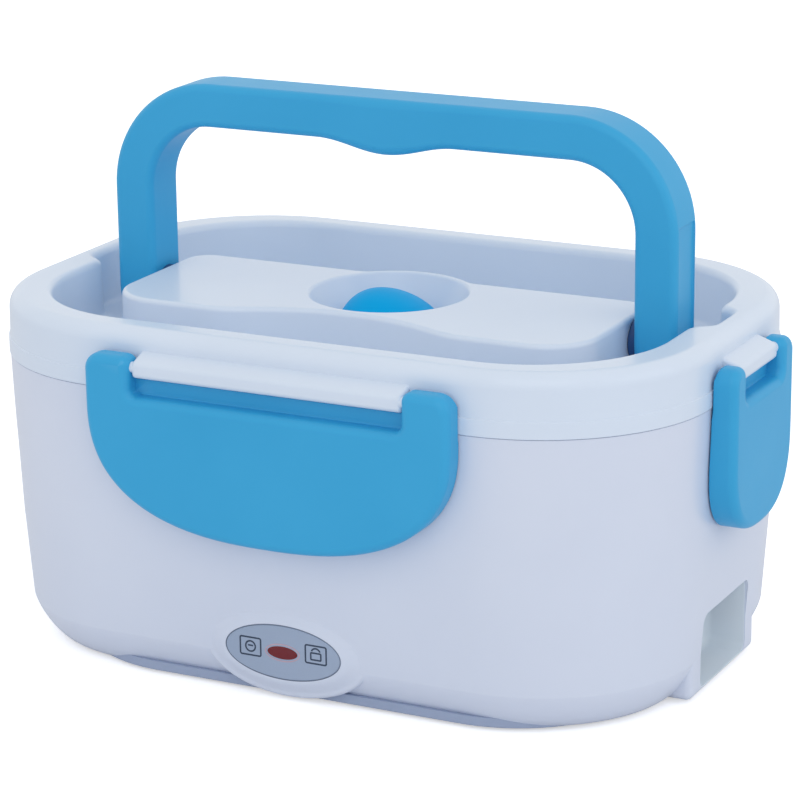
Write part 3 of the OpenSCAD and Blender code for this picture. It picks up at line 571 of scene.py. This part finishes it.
plate_rim = carried([(-12.8, floor_low), (-12.8, cover_z + 0.9), (-13, cover_z + 0.7)], *wall_loop)
step_points, step_normals = plan(step_half_l, cover_high[1], step_r, 1.5)
step_rim = carried([(0, floor_low - 0.1), (0, cover_z + 0.3), (-0.3, cover_z)],
                   step_points + [step_shift, 0], step_normals)
cover = surface("floor_cover", [plate_rim])
cut(cover, surface("floor_step", [step_rim]), operation="UNION")
gap = block((inlet_back - 2.3, -foot_half - 0.3, -2), (inlet_x + 20, foot_half + 0.3, 9), 0.3, 3)
cut(cover, surface("inlet_gap", [gap]))
for x in (-1, 1):
    for y in (-1, 1):
        cut(cover, screw_hole(x * (body_l / 2 - screw_inset[0]), y * (body_w / 2 - screw_inset[1])))
finished(cover, grey, "grey_plastic", "base", "bottom_cover")
dress("mains_inlet", socket_grey)
dress("mains_pins", brass)
dress("cover_screws", steel)
dress("rubber_feet", rubber)

# ---- Heater ----
# A cast aluminium plate in a silicone seal, clamped under the well with straps, its heating element,
# thermostat and fuse below it. All of it is closed in between the well and the floor.

aluminium = plastic("cast aluminium", (0.52, 0.53, 0.55), (0.62, 0.63, 0.65), 0.35, metal=1.0, drift=90.0,
                    depth=0.5, skin=700.0)
silicone = plastic("grey silicone", (0.42, 0.46, 0.52), (0.48, 0.52, 0.58), 0.55, depth=0.4, skin=900.0)
ceramic = plastic("ceramic fuse body", (0.66, 0.61, 0.50), (0.72, 0.68, 0.58), 0.6, depth=0.4, skin=900.0)
board_green = plastic("lamp board lacquer", (0.012, 0.10, 0.04), (0.02, 0.14, 0.06), 0.25, coat=0.3)
lamp_red = plastic("lamp body", (0.45, 0.02, 0.03), (0.55, 0.03, 0.04), 0.15, coat=0.4)
wire_red = plastic("wire sleeve", (0.32, 0.03, 0.03), (0.40, 0.05, 0.04), 0.5)
for node in ("heating_plate", "heating_element"):
    dress(node, aluminium)
for node in ("plate_straps", "strap_screws", "element_clamp"):
    dress(node, steel)
dress("plate_gasket", silicone)
dress("thermostat", black)
dress("thermal_fuse", ceramic)
dress("indicator_board", board_green)
dress("indicator_led", lamp_red)
dress("wiring", wire_red)

# ---- Well and food containers ----
# The white inner well is snapped into the base. A thin food tray with a divider stands on the heating plate,
# and a side dish with its own pale blue lid stands in the tray's smaller compartment.

inner_white = plastic("inner polypropylene", (0.70, 0.73, 0.78), (0.76, 0.79, 0.84), 0.38, depth=0.2)
tray_white = plastic("food-grade plastic", (0.76, 0.78, 0.80), (0.82, 0.84, 0.86), 0.3, coat=0.1)
dish_white = plastic("side dish plastic", (0.62, 0.70, 0.78), (0.68, 0.76, 0.84), 0.3, coat=0.1)
lid_pale = plastic("soft lid plastic", (0.28, 0.52, 0.74), (0.33, 0.58, 0.80), 0.45, depth=0.2)
dress("inner_well", inner_white)
dress("food_tray", tray_white)
dress("side_dish", dish_white)
dress("side_dish_lid", lid_pale)

# ---- Lid shell ----
# One white moulding: an outer band, a broad rounded rim, a recess as deep as the folded handle, and an island
# in the recess with a finger scallop in front and a funnel that leads down to the steam vent.

# Painted light: the lid's white is lighter and more cyan than the base's, standing in for the blue light
# bounced from the handle and latches and the stronger light on its top.
lid_bounce_white = plastic("lid white with painted blue bounce", (0.66, 0.75, 0.88), (0.71, 0.80, 0.93), 0.28, coat=0.15)
lid_low, lid_high = span("lid_shell")
lid_bottom = lid_low[2]
rim_top = lid_high[2]
seam = base_top + 0.16
band = seam + 5
recess_z = 90.5
recess_half = (body_l / 2 - 12.5, body_w / 2 - 10)
recess_r = corner_r - 10
leg_pocket_half = (body_l / 2 - 6.5, 10)
leg_pocket_y = 6
leg_pocket_r = 3.5
island_top = rim_top - 1.3
island_y = -11
island_half = (78, 29)
island_r = (16.0, 8.0)
scallop_half = 36
scallop_depth = 10.5
vent_y = -2
funnel_r = 24.4
funnel_collar = 2.5
well_r = 18.5
well_floor = 95
passage_r = 6.05
ray_reach = 140


def rounded_box(x, y, half_l, half_w, r):
    """Distance to a rectangle with round corners: the straight distance to the rectangle of corner centres,
    less r."""
    qx, qy = np.abs(x) - half_l + r, np.abs(y) - half_w + r
    return np.hypot(np.maximum(qx, 0), np.maximum(qy, 0)) + np.minimum(np.maximum(qx, qy), 0) - r


def melt(a, b, k):
    """The smaller of two distances, rounded over a width k where they are close."""
    h = np.clip(0.5 + 0.5 * (b - a) / k, 0, 1)
    return b + (a - b) * h - k * h * (1 - h)


def body_plan(x, y):
    """Distance to the outline of the body."""
    return rounded_box(x, y, body_l / 2, body_w / 2, corner_r)


def recess_plan(x, y):
    """Distance to the recess: a round-cornered rectangle with a pocket melted into each end wall beside the
    handle."""
    main = rounded_box(x, y, *recess_half, recess_r)
    pockets = rounded_box(x, y - leg_pocket_y, *leg_pocket_half, leg_pocket_r)
    return melt(main, pockets, 5)


def island_plan(x, y):
    """Distance to the island: wider corners in front, a round scallop melted out of its front edge, and a
    collar round the funnel melted onto its back edge."""
    box = rounded_box(x, y - island_y, *island_half, np.where(y < island_y, *island_r))
    r = (scallop_half ** 2 + scallop_depth ** 2) / (2 * scallop_depth)
    front = island_y - island_half[1]
    scallop = np.hypot(x, y - (front + scallop_depth - r)) - r
    collar = np.hypot(x, y - vent_y) - funnel_r - funnel_collar
    return melt(-melt(-box, scallop, 4), collar, 2)


def funnel_plan(x, y):
    """Distance to the axis of the vent."""
    return np.hypot(x, y - vent_y)


outer_loop = plan(body_l / 2, body_w / 2, corner_r, 0.9)[0]
rays = np.arctan2(outer_loop[:, 1] - vent_y, outer_loop[:, 0])


def contour(shape, level, z):
    """Where rays from the vent's axis meet a shape's level curve, found by halving, at one height."""
    near, far = np.zeros(len(rays)), np.full(len(rays), float(ray_reach))
    for _ in range(40):
        r = (near + far) / 2
        out = shape(r * np.cos(rays), vent_y + r * np.sin(rays)) > level
        near, far = np.where(out, near, r), np.where(out, r, far)
    return np.stack([far * np.cos(rays), vent_y + far * np.sin(rays), np.full(len(rays), z)], 1)


def rounding(shape, centre, z, run, rise, start, end, count=9):
    """Contours along a quarter of an ellipse: the level runs by cos and the height rises by sin."""
    turns = quarter(count, start, end)
    return [contour(shape, centre + run * math.cos(a), z + rise * math.sin(a)) for a in turns]


# Down inside the skirt, out under the seam, and up the band.
lid_rows = [contour(body_plan, level, z) for level, z in (
    (-1.2, band - 1), (-1.2, seam + 0.2), (-1.0, seam), (1.5, seam), (1.7, seam + 0.2), (1.7, seam + 2.5),
    (1.7, band - 0.25), (1.62, band - 0.05), (1.4, band + 0.05), (1.3, band + 0.2), (1.25, band + 2),
    (1.15, 104.0))]
# Over the rim and down the wall of the recess to its floor.
lid_rows += rounding(body_plan, -3.3, 104.2, 4.42, rim_top - 104.2, 3, 90, 12)
lid_rows += rounding(recess_plan, 2.0, rim_top - 2.4, -2.0, 2.4, 90, 0, 9)
lid_rows += [contour(recess_plan, -0.2, 98)]
lid_rows += rounding(recess_plan, -2.1, recess_z + 1.8, 1.8, -1.8, 0, 90, 7)
lid_rows += [contour(recess_plan, -2.8, recess_z), contour(island_plan, 2.5, recess_z)]
# Up the wall of the island and over its edge.
lid_rows += rounding(island_plan, 1.9, recess_z + 1.6, -1.6, -1.6, 90, 0, 7)
lid_rows += [contour(island_plan, 0.15, 98), contour(island_plan, 0.02, island_top - 2.0)]
lid_rows += rounding(island_plan, -1.5, island_top - 1.5, 1.5, 1.5, 0, 90, 7)
# Down the funnel, across the floor of the vent's well, and down the steam passage.
lid_rows += [contour(funnel_plan, r, z) for r, z in (
    (funnel_r + 0.62, island_top), (funnel_r + 0.3, island_top - 0.08), (funnel_r - 0.05, island_top - 0.35),
    (funnel_r - 0.5, island_top - 0.85), (23, 104.3), (20.6, 101), (well_r + 0.4, 98.5),
    (well_r + 0.05, 97.9), (well_r, 97.3), (well_r, well_floor + 0.4), (well_r - 0.4, well_floor),
    (7, well_floor), (passage_r, well_floor), (passage_r, lid_bottom))]
# Out under the recess and up behind its wall, to close on the skirt.
lid_rows += [contour(recess_plan, 1.9, lid_bottom), contour(recess_plan, 2.3, lid_bottom + 0.4),
             contour(recess_plan, 2.3, 104.5), contour(body_plan, -3.6, 105.6),
             contour(body_plan, -1.8, 102.8)]
lid = surface("lid_top", [np.array(lid_rows)], crease=35, rows_close=True)
finished(lid, lid_bounce_white, "white_plastic", "lid", "lid_shell")
dress("lid_liner", inner_white)
dress("lid_gasket", silicone)

# ---- Latch ledges ----
# A white bar stands out of the lid between the ears of each latch, moulded in one with the lid. Its top
# slopes down from the lid, its outer edges are rounded, and a pin at each end turns in the latch's ear.

latch_nodes = ("front_latch", "right_latch", "back_latch", "left_latch")
latch_spans = [span(node) for node in latch_nodes]
latch_half = [(latch_spans[k][1][k % 2] - latch_spans[k][0][k % 2]) / 2 for k in range(4)]
ear = (14.8, 9.0)
pin_z = 98.9
pin_d = 5.6
pin_r = 1.6
ledge_r = 1.6
ledge_slope = 20
ledge_drop = 3.1
ledge_rise = 2.1
ledge_root = -0.3
ledge_edge = 1.1


def ledge_half(k):
    """Half the length of ledge k, clear of the ears by 0.4 mm."""
    return latch_half[k] - ear[k % 2] - 0.4


def ledge(k):
    """The ledge's section carried along the wall: rounded outer edges and a top that slopes down, drawn in
    along its own normals at both ends by a quarter round."""
    slope = math.radians(ledge_slope)
    low, top = pin_z - ledge_drop, pin_z + ledge_rise
    a, b = quarter(7, -90, 0), quarter(7, 0, 90 - ledge_slope)
    d = np.concatenate([[ledge_root], pin_d + ledge_r * np.cos(a), pin_d + ledge_r * np.cos(b), [ledge_root]])
    z = np.concatenate([[low], low + ledge_r + ledge_r * np.sin(a), top - ledge_r + ledge_r * np.sin(b), [0]])
    z[-1] = z[-2] + math.tan(slope) * (d[-2] - ledge_root)
    nd = np.concatenate([[0], np.cos(a), np.cos(b), [math.sin(slope)]])
    nz = np.concatenate([[-1], np.sin(a), np.sin(b), [math.cos(slope)]])
    half, e = ledge_half(k), ledge_edge
    stations = [(-half + e - e * math.sin(t), e * (1 - math.cos(t))) for t in quarter(6, 90, 0)]
    stations += [(-x, inset) for x, inset in stations[::-1]]
    rows = [np.stack([np.full(len(d), x), -(reach(k) + d - nd * inset), z - nz * inset], 1)
            for x, inset in stations]
    return site(np.array(rows), k)


def stub(k, end):
    """A short pin at one end of ledge k, its tip bevelled."""
    a = circle(24)
    rows = [np.stack([np.full(24, end * (ledge_half(k) + x)), -(reach(k) + pin_d) + r * np.cos(a),
                      pin_z + r * np.sin(a)], 1) for x, r in ((-2, pin_r), (5.7, pin_r), (6, pin_r - 0.3))]
    return site(np.array(rows), k)


ledges = [ledge(k) for k in range(4)]
pins = [stub(k, end) for k in range(4) for end in (-1, 1)]
finished(surface("latch_ledges", ledges), lid_bounce_white, "white_plastic", "lid")
finished(surface("latch_pins", pins), lid_bounce_white, "white_plastic", "lid")

# ---- Steam vent plug ----
# A bright blue moulding: a dome that stands in the funnel and leans a little to the left at its crown, a
# flange that seats on the floor of the vent's well, and a stem that closes the steam passage.

bright = plastic("bright blue plastic", (0.0, 0.38, 0.78), (0.0, 0.43, 0.84), 0.45, shine=0.1)
vent_low, vent_high = span("vent_plug")
dome_r = 18.2
dome_mid = vent_high[2] - dome_r
stem_r = 6
flange_z = well_floor + 0.2
lean = 3.0
lean_from = 97


def turned(profile, count=160):
    """A profile of (radius, height) pairs turned about the vent's axis."""
    a = circle(count)
    return np.array([np.stack([r * np.cos(a), vent_y + r * np.sin(a), np.full(count, z)], 1)
                     for r, z in profile])


dome = [(dome_r * math.cos(a), dome_mid + dome_r * math.sin(a)) for a in quarter(28, 24, 90)]
plug = turned([(0, vent_low[2]), (stem_r - 0.4, vent_low[2]), (stem_r, vent_low[2] + 0.4), (stem_r, flange_z),
               (16.3, flange_z), (16.7, flange_z + 0.4), (16.75, 96.9)] + dome)
crown = np.clip((plug[..., 2] - lean_from) / (vent_high[2] - lean_from), 0, 1)
plug[..., 0] -= lean * crown ** 2
finished(surface("steam_plug", [plug]), bright, "bright_blue", "vent", "vent_plug")

# ---- Folding handle ----
# One blue arch of rounded section, as thick as the recess is deep, with a swelling for the hand under its
# grip. Each leg has a round foot, a pivot disc and pin that turn in the island, and a shallow outer panel.

# The blue's convex edges carry a painted highlight, a lighter blue mixed in by pointiness.
blue = plastic("blue plastic", (0.030, 0.36, 0.68), (0.045, 0.41, 0.74), 0.34, shine=0.3,
               edge_highlight=(0.14, 0.50, 0.80))
# Painted shade: the pivot discs sit in shade between the legs and the island and are coloured dark blue for
# it.
hub_shade_blue = plastic("blue plastic with painted shade", (0.008, 0.05, 0.17), (0.012, 0.07, 0.21), 0.4)
grip_high = span("handle")[1]
half_arch = grip_high[0]
arch_top = grip_high[2]
pivot = (3.2, 100.0)
leg = 13.4
thick = 17.2
bend_r = 34
edge_r = 2.4
swell_drop = 3.6
swell_half = 23
hub_r = 6.6
hub_t = 2.3
leg_panel_half = 6.1
leg_panel_z = (98.6, 136)
leg_panel_depth = 0.6


def handle_ring(count=7):
    """The section of the arch round its edge: (across, depth) pairs of a rounded rectangle, with a point on
    its middle line on both flat sides."""
    a = np.concatenate([quarter(count, 90 * k, 90 * k + 90) for k in range(4)])
    sx, sy = np.repeat([1, -1, -1, 1], count), np.repeat([1, 1, -1, -1], count)
    x = sx * (leg / 2 - edge_r) + edge_r * np.cos(a)
    y = sy * (thick / 2 - edge_r) + edge_r * np.sin(a)
    return np.insert(x, [0, 2 * count], [leg / 2, -leg / 2]), np.insert(y, [0, 2 * count], [0, 0])


def arch():
    """The section carried from foot to foot: turned about the pivot for the feet, straight up the legs, round
    the corners and along the grip, where its inner side drops by the swelling's smooth curve."""
    across, depth = handle_ring()
    rows = []
    for a in quarter(12, 90, 0)[:-1]:
        rows.append(np.stack([half_arch - leg / 2 + across, pivot[0] + depth * math.cos(a),
                              pivot[1] - np.abs(depth) * math.sin(a)], 1))
    for z in np.linspace(pivot[1], arch_top - bend_r, 14)[:-1]:
        rows.append(np.stack([half_arch - leg / 2 + across, pivot[0] + depth, np.full(len(across), z)], 1))
    out = bend_r - leg / 2 + across
    for a in quarter(26):
        rows.append(np.stack([half_arch - bend_r + out * math.cos(a), pivot[0] + depth,
                              arch_top - bend_r + out * math.sin(a)], 1))
    inner = np.clip(0.5 - across / leg, 0, 1)
    for x in np.linspace(half_arch - bend_r, 0, 50)[1:]:
        swell = swell_drop * 0.5 * (1 + math.cos(math.pi * min(1, abs(x) / swell_half)))
        rows.append(np.stack([np.full(len(across), x), pivot[0] + depth,
                              arch_top - leg / 2 + across - swell * inner], 1))
    right = np.array(rows)
    left = right[-2::-1] * np.array([-1, 1, 1])
    return np.concatenate([right, left])


def leg_panel(side):
    """The shallow panel in the outer face of one leg, as a solid to cut away."""
    face = side * half_arch
    return block((face - leg_panel_depth, pivot[0] - leg_panel_half, leg_panel_z[0]),
                 (face + leg_panel_depth, pivot[0] + leg_panel_half, leg_panel_z[1]), 0.55, 4)


def hub(side):
    """Disc and pin at the inside of a leg: a profile of (reach from the leg's inner face, radius) turned
    about the pivot."""
    a = circle(64)
    profile = [(-1, hub_r), (0.0, hub_r), (hub_t - 0.4, hub_r), (hub_t - 0.05, hub_r - 0.3),
               (hub_t, hub_r - 0.7), (hub_t, 3), (8.5, 3), (8.8, 2.7)]
    rings = [np.stack([np.full(64, side * (half_arch - leg - d)), pivot[0] + r * np.cos(a),
                       pivot[1] + r * np.sin(a)], 1) for d, r in profile]
    return np.array(rings)


handle = surface("handle_arch", [arch()], crease=38)
cut(handle, surface("leg_panels", [leg_panel(-1), leg_panel(1)]), 38)
finished(handle, blue, "blue_plastic", "grip", "handle")
finished(surface("handle_hubs", [hub(-1), hub(1)]), hub_shade_blue, "blue_plastic", "grip")

# ---- Latches ----
# Four blue flaps hang on pins between two ears each, the long ones front and back and the short ones at the
# ends. The flap is a shell with a full curved tip; inside, a bead snaps under the rib of the base.

latch_bodies = ("latch_front", "latch_right", "latch_back", "latch_left")
latch_back = 2.0
latch_face = 9.2
notch_z = pin_z - 8.3
notch_r = 2.4
curve_z = (88.0, 75.0)
tip_power = 0.8
ear_rise = (3.5, 2.7)
ear_r = 4.8
ear_inner_r = 2.8
edge_round = 2.6
flap_t = 2.2
web_r = 4.3
web_turn = (-54.5, -24.7)
bead_half = (29.5, 10.5)


def corner(x, z, r, start, end, sign=1):
    """Part of a circle about (x, z) with its normals, turned inwards for a hollow corner: columns x, z, nx
    and nz."""
    q = quarter(10, start, end)
    return np.stack([x + r * np.cos(q), z + r * np.sin(q), sign * np.cos(q), sign * np.sin(q)], 1)


def straight(x, z, nx, nz):
    """Points along a straight stretch with their one normal: columns x, z, nx and nz."""
    x, z = np.broadcast_arrays(np.asarray(x, float), z)
    return np.stack([x, z, np.full(len(x), float(nx)), np.full(len(x), float(nz))], 1)


def flap_outline(k):
    """Outline of a flap in its own plane: straight sides, a superellipse to the tip, and at the top two
    round-cornered ears beside a notch. Gives width, height, and the outward normal."""
    half, notch, top = latch_half[k], latch_half[k] - ear[k % 2], pin_z + ear_rise[k % 2]
    z0 = curve_z[k % 2]
    drop = z0 - tip_z
    a = quarter(90, 0, 180)[1:-1]
    c, s = np.cos(a), np.sin(a)
    nx = np.sign(c) * np.abs(c) ** (2 - tip_power) / half
    nz = -np.abs(s) ** (2 - tip_power) / drop
    size = np.hypot(nx, nz)
    low = np.stack([half * np.sign(c) * np.abs(c) ** tip_power, z0 - drop * s ** tip_power,
                    nx / size, nz / size], 1)
    right_half = np.concatenate([
        straight(half, np.linspace(z0, top - ear_r, 12)[:-1], 1, 0),
        corner(half - ear_r, top - ear_r, ear_r, 0, 90),
        corner(notch + ear_inner_r, top - ear_inner_r, ear_inner_r, 90, 180),
        straight(notch, np.linspace(top - ear_inner_r, notch_z + notch_r, 5)[1:-1], -1, 0),
        corner(notch - notch_r, notch_z + notch_r, notch_r, 0, -90, -1),
        straight(np.linspace(notch - notch_r, 0, 14)[1:], notch_z, 0, 1)])
    left_half = right_half[-2::-1] * np.array([-1, 1, -1, 1])
    return np.concatenate([right_half, left_half, low[::-1]])


def flap(k):
    """The outline carried from back to front: each point moves in along its normal as the edge rounds over,
    by a broad radius in front and a small one behind, which is larger over the top of the ears. Below the
    ears the back edge follows the tapered wall."""
    x, z, nx, nz = flap_outline(k).T
    back_r = 0.5 + 1.4 * np.clip(nz, 0, 1) * (z > pin_z)
    below = np.clip(curve_z[0] + 1 - z, 0, 1)
    back = latch_back - (latch_back - 0.35 - np.interp(z, wall_heights, wall_offsets)) * below
    rings = [np.stack([x - nx * back_r * (1 - math.cos(a)), -(reach(k) + back + back_r * (1 - math.sin(a))),
                       z - nz * back_r * (1 - math.cos(a))], 1) for a in quarter(7, 90, 0)]
    for a in quarter(9):
        run, depth = edge_round * (1 - math.cos(a)), latch_face - edge_round * (1 - math.sin(a))
        rings.append(np.stack([x - nx * run, np.full(len(x), -(reach(k) + depth)), z - nz * run], 1))
    return site(np.array(rings), k)


def web(k):
    """The wall behind the notch: a section that stands on the floor of the notch and is hollowed on top by a
    circle about the pin, carried between the ears."""
    half = latch_half[k] - ear[k % 2] + 0.5
    phi = quarter(8, *web_turn)
    d = np.concatenate([[2.1], pin_d + web_r * np.sin(phi), [3.8, 4.0, 4.6]])
    z = np.concatenate([[notch_z - 1], pin_z - web_r * np.cos(phi),
                        [notch_z + 0.8, notch_z + 0.2, notch_z - 1]])
    rows = [np.stack([np.full(len(d), x), -(reach(k) + d), z], 1) for x in np.linspace(-half, half, 20)]
    return site(np.array(rows), k)


def hollow(k):
    """The space behind the face: the flap's outline drawn in by the wall's thickness, cut off flat below the
    ears, from behind the flap to the face."""
    x, z, nx, nz = flap_outline(k).T
    top = notch_z - 2
    x, z = x - nx * flap_t, np.minimum(z - nz * flap_t, top)
    x = np.clip(x, -(latch_half[k] - flap_t), latch_half[k] - flap_t)
    kept = z < top - 1e-6
    x, z = x[kept], z[kept]
    order = np.argsort(np.arctan2(z - top, x))
    x, z = x[order], z[order]
    rings = [np.stack([x, np.full(len(x), -(reach(k) + d)), z], 1) for d in (-4, latch_face - flap_t)]
    return site(np.array(rings), k)


def bead(k):
    """The bead inside latch k, rooted in its face and ending 1 mm short of the outside."""
    half = bead_half[k % 2]
    return site(block((-half, -(reach(k) + latch_face - 1), catch_z),
                      (half, -(reach(k) + rib_out + 0.2), catch_z + bead_h), 0.7, 5), k)


for k in range(4):
    shell = surface(latch_nodes[k] + "_flap", [flap(k)], crease=38)
    cut(shell, surface("hollow", [hollow(k)]), 38)
    cut(shell, surface("web", [web(k)]), 38, "UNION")
    finished(shell, blue, "blue_plastic", latch_bodies[k], latch_nodes[k])
    finished(surface(latch_nodes[k] + "_bead", [bead(k)]), blue, "blue_plastic", latch_bodies[k])

# ---- Camera ----
# A long lens from the front right, a little above the lid, with the small shift of a cropped frame. The focal
# length and the shift are given in pixels of a square picture.

turn, rise, tilt = math.radians(26.762), math.radians(17.136), math.radians(-0.701)
aim = Vector((0, 0, 0.060))
distance = 0.978081
picture_px = 800
focal_px = 3186.8
shift_px = (6.066, 39.905)
sensor = 36

backward = Vector((math.sin(turn) * math.cos(rise), -math.cos(turn) * math.cos(rise), math.sin(rise)))
level = Vector((math.cos(turn), math.sin(turn), 0))
over = backward.cross(level)
side_axis = level * math.cos(tilt) + over * math.sin(tilt)
top_axis = over * math.cos(tilt) - level * math.sin(tilt)
eye = aim + backward * distance
view = bpy.data.cameras.new("camera")
view.sensor_width = sensor
view.lens = focal_px / picture_px * sensor
view.shift_x = shift_px[0] / picture_px
view.shift_y = shift_px[1] / picture_px
view.clip_start = 0.05
view.clip_end = 30
camera = bpy.data.objects.new("camera", view)
bpy.context.scene.collection.objects.link(camera)
camera.matrix_world = Matrix((
    (side_axis.x, top_axis.x, backward.x, eye.x), (side_axis.y, top_axis.y, backward.y, eye.y),
    (side_axis.z, top_axis.z, backward.z, eye.z), (0, 0, 0, 1)))
bpy.context.scene.camera = camera

# ---- Studio ----
# A white floor that keeps a soft shadow, a white surround that the camera and gloss see at full strength and
# other rays a little weaker, and two large soft lamps, in front and on the right.

floor_half = 6
floor_glow = 0.5
surround_light = 0.82

floor = bpy.data.meshes.new("floor")
floor.from_pydata([(-floor_half, -floor_half, 0), (floor_half, -floor_half, 0), (floor_half, floor_half, 0),
                   (-floor_half, floor_half, 0)], [], [(0, 1, 2, 3)])
floor_piece = bpy.data.objects.new("floor", floor)
bpy.context.scene.collection.objects.link(floor_piece)
paper = bpy.data.materials.new("floor paper")
paper.use_nodes = True
paper_nodes, paper_links = paper.node_tree.nodes, paper.node_tree.links
paper_shader = paper_nodes["Principled BSDF"]
paper_shader.inputs["Base Color"].default_value = (0.86, 0.87, 0.90, 1)
paper_shader.inputs["Roughness"].default_value = 0.9
seen = paper_nodes.new("ShaderNodeLightPath")
glow = paper_nodes.new("ShaderNodeMath")
glow.operation = "MULTIPLY"
glow.inputs[1].default_value = floor_glow
paper_links.new(seen.outputs["Is Camera Ray"], glow.inputs[0])
paper_links.new(glow.outputs[0], paper_shader.inputs["Emission Strength"])
paper_shader.inputs["Emission Color"].default_value = (1, 1, 1, 1)
floor.materials.append(paper)

world = bpy.data.worlds.new("surround")
bpy.context.scene.world = world
world.use_nodes = True
sky_nodes, sky_links = world.node_tree.nodes, world.node_tree.links
ray = sky_nodes.new("ShaderNodeLightPath")
full = sky_nodes.new("ShaderNodeMath")
full.operation = "MAXIMUM"
sky_links.new(ray.outputs["Is Camera Ray"], full.inputs[0])
sky_links.new(ray.outputs["Is Glossy Ray"], full.inputs[1])
strength = sky_nodes.new("ShaderNodeMapRange")
strength.inputs["To Min"].default_value = surround_light
strength.inputs["To Max"].default_value = 1.0
sky_links.new(full.outputs[0], strength.inputs["Value"])
sky_links.new(strength.outputs[0], sky_nodes["Background"].inputs["Strength"])
sky_nodes["Background"].inputs["Color"].default_value = (1, 1, 1, 1)


def softbox(name, place, size, power):
    """A square lamp at a place, turned to the middle of the object."""
    lamp = bpy.data.lights.new(name, "AREA")
    lamp.size = size
    lamp.energy = power
    holder = bpy.data.objects.new(name, lamp)
    holder.location = place
    holder.rotation_euler = (aim - Vector(place)).to_track_quat("-Z", "Y").to_euler()
    bpy.context.scene.collection.objects.link(holder)


softbox("front softbox", (0.45, -1.2, 1.0), 1.1, 2.4)
softbox("right softbox", (1.3, 0.1, 0.6), 0.9, 1.3)
bpy.context.scene.view_settings.view_transform = "Standard"
